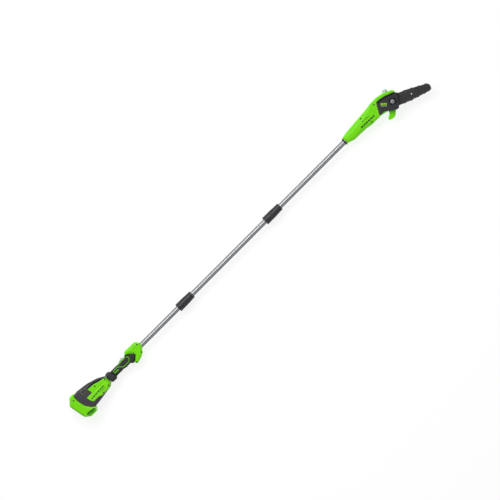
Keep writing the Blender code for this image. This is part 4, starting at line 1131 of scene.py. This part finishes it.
class POLESAW_OT_trigger(PieceOperator, bpy.types.Operator):
    """Makes the trigger and the lock-off button"""
    bl_idname = "polesaw.trigger"
    bl_label = "Trigger"

    def make(self, casing):
        trigger = whole_casing("trigger_lever", FORMS["trigger"], grid=3)
        hinge = pivot("trigger_pull")
        combine(trigger, [rod(0, 100, 1.9, (hinge.x, hinge.y, 0), sides=24)])
        placed(trigger, "trigger", nodes=["trigger"], finish="black_plastic")
        button = whole_casing("lock_off", FORMS["lock_off"], grid=3)
        placed(button, "lock_off", nodes=["lock_off_button"], finish="clear_grey")
        rib = box((-5.5, 5.5), (-0.5, 0.5), (-0.6, 0.5))
        spots = [((258 + 3.2 * k, 24.3 + 1.75 * k, AXIS), (-0.48, 0.88, 0), UP) for k in range(3)]
        placed(repeated("lock_off_treads", rib, spots, "clear_grey"), "lock_off")


class POLESAW_OT_poles(PieceOperator, bpy.types.Operator):
    """Makes the brushed pole tubes with their rolled ends"""
    bl_idname = "polesaw.poles"
    bl_label = "Poles"

    def make(self, casing):
        bodies = {"lower": "handle", "middle": "middle_section", "upper": "head"}
        for name, body in bodies.items():
            low, high = (corner.x for corner in node_box(f"{name}_pole"))
            outer, inner = POLE_RADIUS, POLE_RADIUS - 1.4
            profile = [(high, outer - 0.4), (high - 0.4, outer), (low + 0.4, outer), (low, outer - 0.4),
                       (low, inner), (high, inner)]
            pole = turned(profile, (0, 0, AXIS), FORWARD, 72, f"tube_{name}")
            placed(pole, body, nodes=[f"{name}_pole"], finish="aluminium")


class POLESAW_OT_sleeves(PieceOperator, bpy.types.Operator):
    """Makes the tapered locking sleeves with their end collars"""
    bl_idname = "polesaw.sleeves"
    bl_label = "Coupler Sleeves"

    def make(self, casing):
        for number in (1, 2):
            low, high = (corner.x for corner in node_box(f"coupler_{number}_sleeve"))
            rear, front = 23.5, 20.5
            profile = [(high, front - 1.8), (high - 0.7, front - 0.6), (high - 2.2, front),
                       (high - 9, front + 0.2), (high - 9.8, front - 0.5), (high - 11, front - 0.5),
                       (high - 11.8, front + 0.3), (low + 15.5, rear - 0.4), (low + 14.7, rear - 1.2),
                       (low + 13.5, rear - 1.2), (low + 12.7, rear - 0.2), (low + 3.5, rear),
                       (low + 1, rear - 0.9), (low, rear - 2.5), (low, POLE_RADIUS + 0.4),
                       (low + 19, POLE_RADIUS + 0.4), (low + 19, 17.8), (high, 17.8)]
            sleeve = turned(profile, (0, 0, AXIS), FORWARD, 72, f"sleeve_{number}")
            placed(sleeve, f"sleeve_{number}", nodes=[f"coupler_{number}_sleeve"], finish="black_plastic")
            rib = box((-15, 15), (-0.7, 0.7), (-0.8, 0.35))
            middle, count = (low + high) / 2, 30
            slope = (rear - front - 0.7) / (high - low - 27.3)
            radius = rear - 0.4 - slope * (middle - low - 15.5)
            spots = []
            for k in range(count):
                out = Vector((0, math.cos(math.tau * k / count), math.sin(math.tau * k / count)))
                place = Vector((middle, 0, AXIS)) + out * radius
                spots.append((place, (out + Vector((slope, 0, 0))).normalized(), FORWARD))
            ribs = repeated(f"sleeve_ribs_{number}", rib, spots, "black_plastic")
            placed(ribs, f"sleeve_{number}")


class POLESAW_OT_head(PieceOperator, bpy.types.Operator):
    """Makes the lime halves of the saw head, with the bar pad and the motor vents"""
    bl_idname = "polesaw.head"
    bl_label = "Head Shells"

    def make(self, casing):
        form, floor = FORMS["head"], FORMS["head_floor"]
        right = solid("head_half_right", form.outline, form.surface, flat(AXIS + GAP / 2), form.rim)
        left = solid("head_half_left", floor.outline, flat(AXIS - GAP / 2),
                     lambda x, y, depth: -floor.surface(x, y, depth), floor.rim)
        bar_place = (SPINDLE.x, SPINDLE.y)
        combine(right, self.rooms())
        combine(right, screw_posts(HEAD_SCREWS, form, "right"), "UNION")
        combine(right, screw_wells(HEAD_SCREWS, form, "right") + self.vents(form))
        combine(right, [box((38, 90), (-20, 20), (60, 66), bar_place, BAR_TURN)], "UNION")
        combine(right, [box((56, 130), (-16.6, -9.4), (57.5, 75), bar_place, BAR_TURN),
                        rod(56.2, 75, 4.3, on_bar(49.8).to_3d())])
        combine(left, self.rooms())
        for side, shell in (("right", right), ("left", left)):
            placed(shell, "head", nodes=[f"head_shell_{side}"], finish="lime_plastic")
        # A pale lime strip along the cover pocket's rear edge is a painted highlight on that bevel.
        painted_edge_strip = strip([(2142.5, 30), (2124, -2), (2106.5, -33)], 2.6)
        placed(laid("head_lip", painted_edge_strip, form, "right", 0.8, 0.8), "head", finish="pale_lime")
        marks = blocks((2000, -9.5), (2102, -12.5), (16, 11, 14, 12, 15, 11), 3, 8.5)
        marks += blocks((2024, 8.5), (2074, 6), (12, 8, 14, 6), 2.5, 3.4)
        ink = [laid("mark", mark, form, "right", 0.3, 0.1, 0.2) for mark in marks]
        placed(join("head_marks", ink), "head", finish="moss_plastic")

    def rooms(self):
        return [
            prism(grown(rounded(COVER), 0.5), 62, ABOVE),
            room(MOTOR_ROOM, 22, 76, FORMS["head"], FORMS["head_floor"], 2.0),
            room(GEAR_ROOM, 4, 56, FORMS["head"], FORMS["head_floor"], 2.0),
            box((2095, 2146), (-18, 2), (50, 59.5)),
            pole_room(1880, 1956),
            rod(1950, 1970, 8, (0, 0, AXIS), FORWARD),
            turned([(80, 0), (80, 7), (61.8, 7), (61.8, 11.3), (50, 11.3), (50, 0)],
                   (SPINDLE.x, SPINDLE.y, 0), UP),
            rod(-12, 30, 13, CAP_BASE, CAP_AIM),
        ]

    def vents(self, form):
        return [sunk_slot(strip([(x, 15.5), (x + 5, 24)], 2.2), form, "right", 1.1)
                for x in (2052, 2060, 2068, 2076)]


class POLESAW_OT_neck_ring(PieceOperator, bpy.types.Operator):
    """Makes the dark ring where the upper pole enters the head"""
    bl_idname = "polesaw.neck_ring"
    bl_label = "Neck Ring"

    def make(self, casing):
        low, high = (corner.x for corner in node_box("neck_ring"))
        profile = [(high, 19.6), (high - 1.2, 20), (high - 2.6, 19.8), (low + 1.4, 17.6), (low, 16.4),
                   (low, POLE_RADIUS + 0.4), (high, POLE_RADIUS + 0.4)]
        ring = turned(profile, (0, 0, AXIS), FORWARD, 64, "neck_collar")
        placed(ring, "head", nodes=["neck_ring"], finish="black_plastic")


class POLESAW_OT_guide_bar(PieceOperator, bpy.types.Operator):
    """Makes the guide bar with its slot, tensioner hole, nose slit and nose rivets"""
    bl_idname = "polesaw.guide_bar"
    bl_label = "Guide Bar"

    def make(self, casing):
        low, high = (corner.z for corner in node_box("guide_bar"))
        nose = pivot("nose_spin")
        form = Form(bar_outline(BAR, 14), high, 0.5)
        bar = whole_casing("bar", form, (low + high) / 2, 12)
        slot = [(42, 4.4, 4.2), (74, 4.4, 4.2), (74, -4.4, 4.2), (42, -4.4, 4.2)]
        slit = turned([(69.1, 30), (67.5, 30), (67.5, 4), (69.1, 4)], (nose.x, nose.y, 0), UP)
        holes = [rod(BAR_LOW, BAR_HIGH, radius, on_bar(*spot).to_3d()) for spot, radius in
                 (((66, -13), 2.9), ((158, 0), 3.0), ((84, 13), 2.2))]
        combine(bar, [prism(bar_outline(slot), BAR_LOW, BAR_HIGH), slit, *holes])
        placed(bar, "bar", nodes=["guide_bar"], finish="dark_steel")
        rivet = turned([(-0.6, 0), (-0.6, 2.4), (0.1, 2.4), (0.45, 1.7), (0.5, 0)], (0, 0, 0), UP, 14)
        spots = []
        for k in range(5):
            angle = BAR_TURN + math.tau * k / 5
            place = (nose.x + 7 * math.cos(angle), nose.y + 7 * math.sin(angle), high)
            spots.append((place, UP, FORWARD))
        placed(repeated("nose_rivets", rivet, spots, "dark_steel"), "bar")


class POLESAW_OT_saw_chain(bpy.types.Operator):
    """Makes the saw chain: drive links, tie straps, and left and right cutters in turn"""
    bl_idname = "polesaw.saw_chain"
    bl_label = "Saw Chain"
    bl_options = {"REGISTER", "UNDO"}

    def execute(self, context):
        settings = context.scene.pole_saw_chain
        route = bar_outline(RIVET_LINE, 12)
        length = sum((b - a).length for a, b in zip(route, route[1:] + route[:1]))
        repeats = round(length / settings.pitch / settings.kinds)
        curve = bpy.data.curves.new("saw_chain_links", "CURVE")
        curve.dimensions = "3D"
        spline = curve.splines.new("POLY")
        spline.points.add(len(route) - 1)
        spline.use_cyclic_u = True
        middle = sum(corner.z for corner in node_box("saw_chain")) / 2
        for point, place in zip(spline.points, route):
            point.co = (place.x * MM, place.y * MM, middle * MM, 1)
        links = bpy.data.collections.new("chain_links")
        context.scene.collection.children.link(links)
        step = length / (repeats * settings.kinds)
        order = ("drive", "left_cutter", "drive", "tie", "drive", "right_cutter", "drive", "tie")
        for k, kind in enumerate(order[:settings.kinds]):
            link = self.make_link(kind, step, f"link_{k}")
            context.scene.collection.objects.unlink(link)
            links.objects.link(link)
        values = {"Links": links, "Count": repeats * settings.kinds, "Kinds": settings.kinds,
                  "Material": finish_of("dark_steel")}
        chain = run_group(new_object("saw_chain_links", curve), chain_group(), values)
        for link in list(links.objects):
            bpy.data.objects.remove(link, do_unlink=True)
        bpy.data.collections.remove(links)
        placed(chain, "bar", ["saw_chain"])
        return {"FINISHED"}

    def make_link(self, kind, step, name):
        """A link whose rivets lie half a step each way along X. Y points away from the bar."""
        half = step / 2
        if kind == "drive":
            body = [(-half - 2.4, 3.0, 2), (half + 2.4, 3.0, 2), (half + 2.4, -4.3, 1), (2.2, -4.8, 1),
                    (0.5, -8.2, 0.8), (-1.8, -8.2, 0.8), (-half - 2.4, -4.3, 1)]
            return painted(prism(rounded(body, 2), -0.65, 0.65, name), finish_of("dark_steel"))
        strap = [(-half - 3, 3.7, 2.6), (-half + 2.4, 3.7, 2), (0, 2.2, 2), (half - 2.4, 3.7, 2),
                 (half + 3, 3.7, 2.6), (half + 3, -3.4, 1.2), (-half - 3, -3.4, 1.2)]
        pieces = [prism(rounded(strap, 2), *z, name="strap") for z in ((0.8, 2.0), (-2.0, -0.8))]
        pieces += [rod(-2.5, 2.5, 1.7, (x, 0, 0), sides=8) for x in (-half, half)]
        if kind != "tie":
            side = 1 if kind == "right_cutter" else -1
            tooth = [(-half - 2.6, 1, 0.5), (-half - 3.2, 4.6, 0.8), (1.0, 5.4, 0.6), (2.2, 1, 0.5)]
            gauge = [(half - 2.4, 1, 0.5), (half - 1.6, 4.5, 0.8), (half + 2.6, 4.2, 1.2),
                     (half + 2.8, 1, 0.5)]
            z = sorted((side * 0.8, side * 2.0))
            pieces += [prism(rounded(outline, 2), *z, name="tooth") for outline in (tooth, gauge)]
            top = [(-half - 3.2, 3.8, 0.3), (-half - 3.2, 4.8, 0.3), (1.0, 5.6, 0.3), (1.2, 4.4, 0.3)]
            pieces.append(prism(rounded(top, 1), *sorted((side * -0.6, side * 3.2)), name="tooth_top"))
        return painted(join(name, pieces), finish_of("dark_steel"))


class POLESAW_OT_sprocket_cover(PieceOperator, bpy.types.Operator):
    """Makes the dark sprocket cover with its ribbed ridge, and the bar nut in its square recess"""
    bl_idname = "polesaw.sprocket_cover"
    bl_label = "Sprocket Cover"

    def make(self, casing):
        form = FORMS["cover"]
        low, top = (corner.z for corner in node_box("sprocket_cover"))
        cover = solid("cover", form.outline, form.surface, flat(low), form.rim)
        nut = (NUT_PLACE.x, NUT_PLACE.y)
        recess = rounded([(-16, -15, 3), (-16, 15, 3), (19, 15, 3), (19, -15, 3)], 4)
        place = [Vector(nut) + Matrix.Rotation(BAR_TURN, 2) @ point for point in recess]
        inside = prism(grown(rounded(COVER, 4), -2.5), 40, top - 5.8)
        combine(cover, [inside, box((55, 200), (-34.5, 34.5), (40, 76), (SPINDLE.x, SPINDLE.y), BAR_TURN),
                        prism(place, top - 3.3, ABOVE), rod(BAR_LOW, ABOVE, 4.6, (*nut, 0))])
        placed(cover, "cover", nodes=["sprocket_cover"], finish="black_plastic")
        # The recess gets a near-black floor plate: painted shade in the recess.
        floor = prism(grown(place, -0.3), top - 3.6, top - 3.15, "recess_floor")
        combine(floor, [rod(BAR_LOW, ABOVE, 4.7, (*nut, 0))])
        placed(floor, "cover", finish="rubber")
        self.make_marks(form)
        crest = smooth_path([(2151, 22.5), (2172, 21.5), (2202, 15), (2226, 6.5), (2244, -1)])
        rail = laid("cover_rail", strip(crest, 6.4), form, "right", 1.4, 1.2)
        placed(rail, "cover", finish="rubber")
        rib = turned([(-2.9, 0), (-2.9, 0.7), (-2.3, 1.1), (2.3, 1.1), (2.9, 0.7), (2.9, 0)], (0, 0, 0),
                     FORWARD, 8)
        ribs = repeated("cover_ribs", rib, spots_along(crest, form, "right", 3.4, 1.3), "rubber")
        placed(ribs, "cover")
        self.make_edge_line(form)
        self.make_nut(nut, top)

    def make_marks(self, form):
        digits = blocks((2157, 5), (2180, -18), (13, 15), 2.6, 12)
        marks = [laid("mark", block, form, "right", 0.3, 0.2, 0.2) for block in digits]
        for mark, block in zip(marks, digits):
            combine(mark, [prism(grown(block, -3.2), BAR_LOW, ABOVE)])
        placed(join("cover_marks", marks), "cover", finish="pale_lime")
        line = blocks((2150, -4.5), (2173, -27.5), (9, 6, 9), 2, 2)
        thin = join("cover_thin_marks", [laid("mark", block, form, "right", 0.3, 0.1, 0.2) for block in line])
        placed(thin, "cover", finish="clear_grey")

    def make_edge_line(self, form):
        lower = smooth_path([(2120, -30), (2147, -27.5), (2172, -48), (2199, -66)])
        line = laid("cover_line", strip(lower, 1.6), form, "right", 0.5, 0.4, 0.3, 3.0)
        placed(line, "cover", finish="black_plastic")

    def make_nut(self, place, top):
        profile = [(top - 0.6, 10.9), (top - 1.2, 11.5), (top - 2.4, 11.5), (top - 3, 11), (top - 3, 4.3),
                   (top - 0.6, 4.3)]
        flange = turned(profile, (*place, 0), UP, 72, "nut", lobes=36, lobe_depth=0.35)
        hexagon = rounded([(7.5 * math.cos(-math.tau * k / 6), 7.5 * math.sin(-math.tau * k / 6), 0.6)
                           for k in range(6)], 3)
        form = Form([point + Vector(place) for point in hexagon], top + 4, 0.9)
        head = solid("hexagon", form.outline, form.surface, flat(top - 2), form.rim, rows=3)
        combine(flange, [head], "UNION")
        combine(flange, [rod(BAR_LOW, ABOVE, 4.3, (*place, 0))])
        placed(flange, "nut", nodes=["bar_nut"], finish="steel")


class POLESAW_OT_oil_cap(PieceOperator, bpy.types.Operator):
    """Makes the clear grey oil cap with ridges round its side"""
    bl_idname = "polesaw.oil_cap"
    bl_label = "Oil Cap"

    def make(self, casing):
        profile = [(15.2, 0), (15.2, 8.5), (16, 9.2), (16, 11.4), (15.3, 12.8), (13.8, 13.8), (3.4, 13.8),
                   (2.4, 14.4), (1.6, 14.4), (1.6, 9.4), (-6, 9.4), (-6, 0)]
        cap = turned(profile, CAP_BASE, CAP_AIM, 72, "cap")
        placed(cap, "oil_cap", nodes=["oil_cap"], finish="clear_grey")
        rib = box((-5, 5), (-0.6, 0.6), (-0.6, 0.65))
        turn = CAP_AIM.to_track_quat("Z", "Y")
        spots = []
        for k in range(30):
            aim = turn @ Vector((math.cos(math.tau * k / 30), math.sin(math.tau * k / 30), 0))
            spots.append((CAP_BASE + CAP_AIM * 8.6 + aim * 13.8, aim, CAP_AIM))
        placed(repeated("cap_ridges", rib, spots, "clear_grey"), "oil_cap")
        bar = box((-8, 8), (-1.4, 1.4), (14.6, 17.6))
        bar.data.transform(Matrix.Translation(CAP_BASE * MM) @ turn.to_matrix().to_4x4())
        placed(bar, "oil_cap", finish="clear_grey")
        bar.name = "cap_finger_bar"


class POLESAW_OT_branch_hook(PieceOperator, bpy.types.Operator):
    """Makes the rounded hook that pulls cut branches down"""
    bl_idname = "polesaw.branch_hook"
    bl_label = "Branch Hook"

    def make(self, casing):
        hook = whole_casing("hook", FORMS["hook"], grid=4)
        placed(hook, "head", nodes=["branch_hook"], finish="lime_plastic")


class POLESAW_OT_screws(PieceOperator, bpy.types.Operator):
    """Makes the screws in the wells of the handle and the head"""
    bl_idname = "polesaw.screws"
    bl_label = "Screws"

    def make(self, casing):
        spots = [((x, y, 2 * AXIS - 2.4), UP, FORWARD) for x, y in BAND_SCREWS[:2]]
        spots += screw_spots(BAND_SCREWS[2:], FORMS["band"], "right")
        for side in SIDES:
            spots += screw_spots(BODY_SCREWS, FORMS["body"], side)
            spots += screw_spots(GUARD_SCREWS, FORMS["guard"], side)
        handle = repeated("handle_screws", screw_head(), spots, "dark_steel", math.tau, 3)
        placed(handle, "handle", ["body_screw", "guard_screw"])
        spots = screw_spots(HEAD_SCREWS, FORMS["head"], "right")
        head = repeated("head_screws", screw_head(), spots, "dark_steel", math.tau, 5)
        placed(head, "head", ["head_screw_1", "head_screw_2", "head_screw_3"])


class POLESAW_OT_inner_finishes(bpy.types.Operator):
    """Gives every CAD node that still shows the finish of its material slot"""
    bl_idname = "polesaw.inner_finishes"
    bl_label = "Inner Finishes"
    bl_options = {"REGISTER", "UNDO"}

    def execute(self, context):
        for name, node in frame["nodes"].items():
            painted(node, finish_of(NODE_SLOTS[name]))
        return {"FINISHED"}


class POLESAW_OT_studio(bpy.types.Operator):
    """Makes the pale floor, the soft lights and the camera"""
    bl_idname = "polesaw.studio"
    bl_label = "Studio"
    bl_options = {"REGISTER", "UNDO"}

    def execute(self, context):
        stage = context.scene.pole_saw_stage
        self.make_floor(stage)
        self.make_camera(context, stage)
        context.scene.view_settings.view_transform = "Standard"
        world = bpy.data.worlds.new("studio")
        world.use_nodes = True
        world.node_tree.nodes["Background"].inputs["Color"].default_value = (1, 1, 1, 1)
        world.node_tree.nodes["Background"].inputs["Strength"].default_value = stage.sky
        context.scene.world = world
        aim = Vector(stage.aim)
        self.make_light("key", aim + Vector((0, 2.2, 3.1)), aim, stage.key, (3.6, 2.2))
        self.make_light("second", aim + Vector((0, -1.8, 3.0)), aim, stage.second, (3.2, 0.8))
        return {"FINISHED"}

    def make_floor(self, stage):
        shape = bmesh.new()
        bmesh.ops.create_grid(shape, x_segments=8, y_segments=8, size=9)
        bmesh.ops.translate(shape, vec=(stage.aim[0], stage.aim[1], -0.0006), verts=shape.verts)
        mesh = bpy.data.meshes.new("floor")
        shape.to_mesh(mesh)
        shape.free()
        floor = painted(new_object("floor", mesh), finish_of("studio_floor"))
        shader = floor.active_material.node_tree.nodes["Principled BSDF"]
        shader.inputs["Emission Color"].default_value = (1, 1, 1, 1)
        shader.inputs["Emission Strength"].default_value = stage.floor_glow

    def make_camera(self, context, stage):
        camera = bpy.data.cameras.new("camera")
        camera.sensor_width = 36
        camera.lens = camera.sensor_width * stage.camera_height / stage.view_width
        camera.clip_start, camera.clip_end = 0.05, 60
        made = new_object("camera", camera)
        made.location = Vector(stage.aim) + Vector((0, 0, stage.camera_height))
        made.rotation_euler = (0, 0, stage.roll)
        context.scene.camera = made

    def make_light(self, name, place, aim, power, size):
        light = bpy.data.lights.new(name, "AREA")
        light.shape = "RECTANGLE"
        light.size, light.size_y = size
        light.energy = power
        made = new_object(name, light)
        made.location = place
        made.rotation_euler = (aim - place).to_track_quat("-Z", "Y").to_euler()


OPERATORS = (
    POLESAW_OT_battery_band, POLESAW_OT_body_shells, POLESAW_OT_side_panels, POLESAW_OT_battery,
    POLESAW_OT_pommel, POLESAW_OT_grip, POLESAW_OT_guard, POLESAW_OT_trigger, POLESAW_OT_poles,
    POLESAW_OT_sleeves, POLESAW_OT_head, POLESAW_OT_neck_ring, POLESAW_OT_guide_bar,
    POLESAW_OT_saw_chain, POLESAW_OT_sprocket_cover, POLESAW_OT_oil_cap, POLESAW_OT_branch_hook,
    POLESAW_OT_screws, POLESAW_OT_inner_finishes, POLESAW_OT_studio,
)
SETTINGS = {
    "pole_saw_finish": PoleSawFinishSettings,
    "pole_saw_casing": PoleSawCasingSettings,
    "pole_saw_chain": PoleSawChainSettings,
    "pole_saw_stage": PoleSawStageSettings,
}


class POLESAW_PT_panel(bpy.types.Panel):
    """Lists the pole saw's operators in the order that they run in"""
    bl_idname = "POLESAW_PT_panel"
    bl_label = "Pole Saw"
    bl_space_type = "VIEW_3D"
    bl_region_type = "UI"
    bl_category = "Pole Saw"

    def draw(self, context):
        for operator in OPERATORS:
            self.layout.operator(operator.bl_idname)


def register():
    for group in SETTINGS.values():
        bpy.utils.register_class(group)
    for name, group in SETTINGS.items():
        setattr(bpy.types.Scene, name, PointerProperty(type=group))
    for operator in OPERATORS:
        bpy.utils.register_class(operator)
    bpy.utils.register_class(POLESAW_PT_panel)


def unregister():
    bpy.utils.unregister_class(POLESAW_PT_panel)
    for operator in reversed(OPERATORS):
        bpy.utils.unregister_class(operator)
    for name, group in SETTINGS.items():
        delattr(bpy.types.Scene, name)
        bpy.utils.unregister_class(group)


def clear_startup():
    for name in ("Cube", "Light", "Camera"):
        found = bpy.data.objects.get(name)
        if found:
            bpy.data.objects.remove(found, do_unlink=True)


def main():
    register()
    clear_startup()
    for operator in OPERATORS:
        group, name = operator.bl_idname.split(".")
        getattr(getattr(bpy.ops, group), name)()


if __name__ == "__main__":
    main()
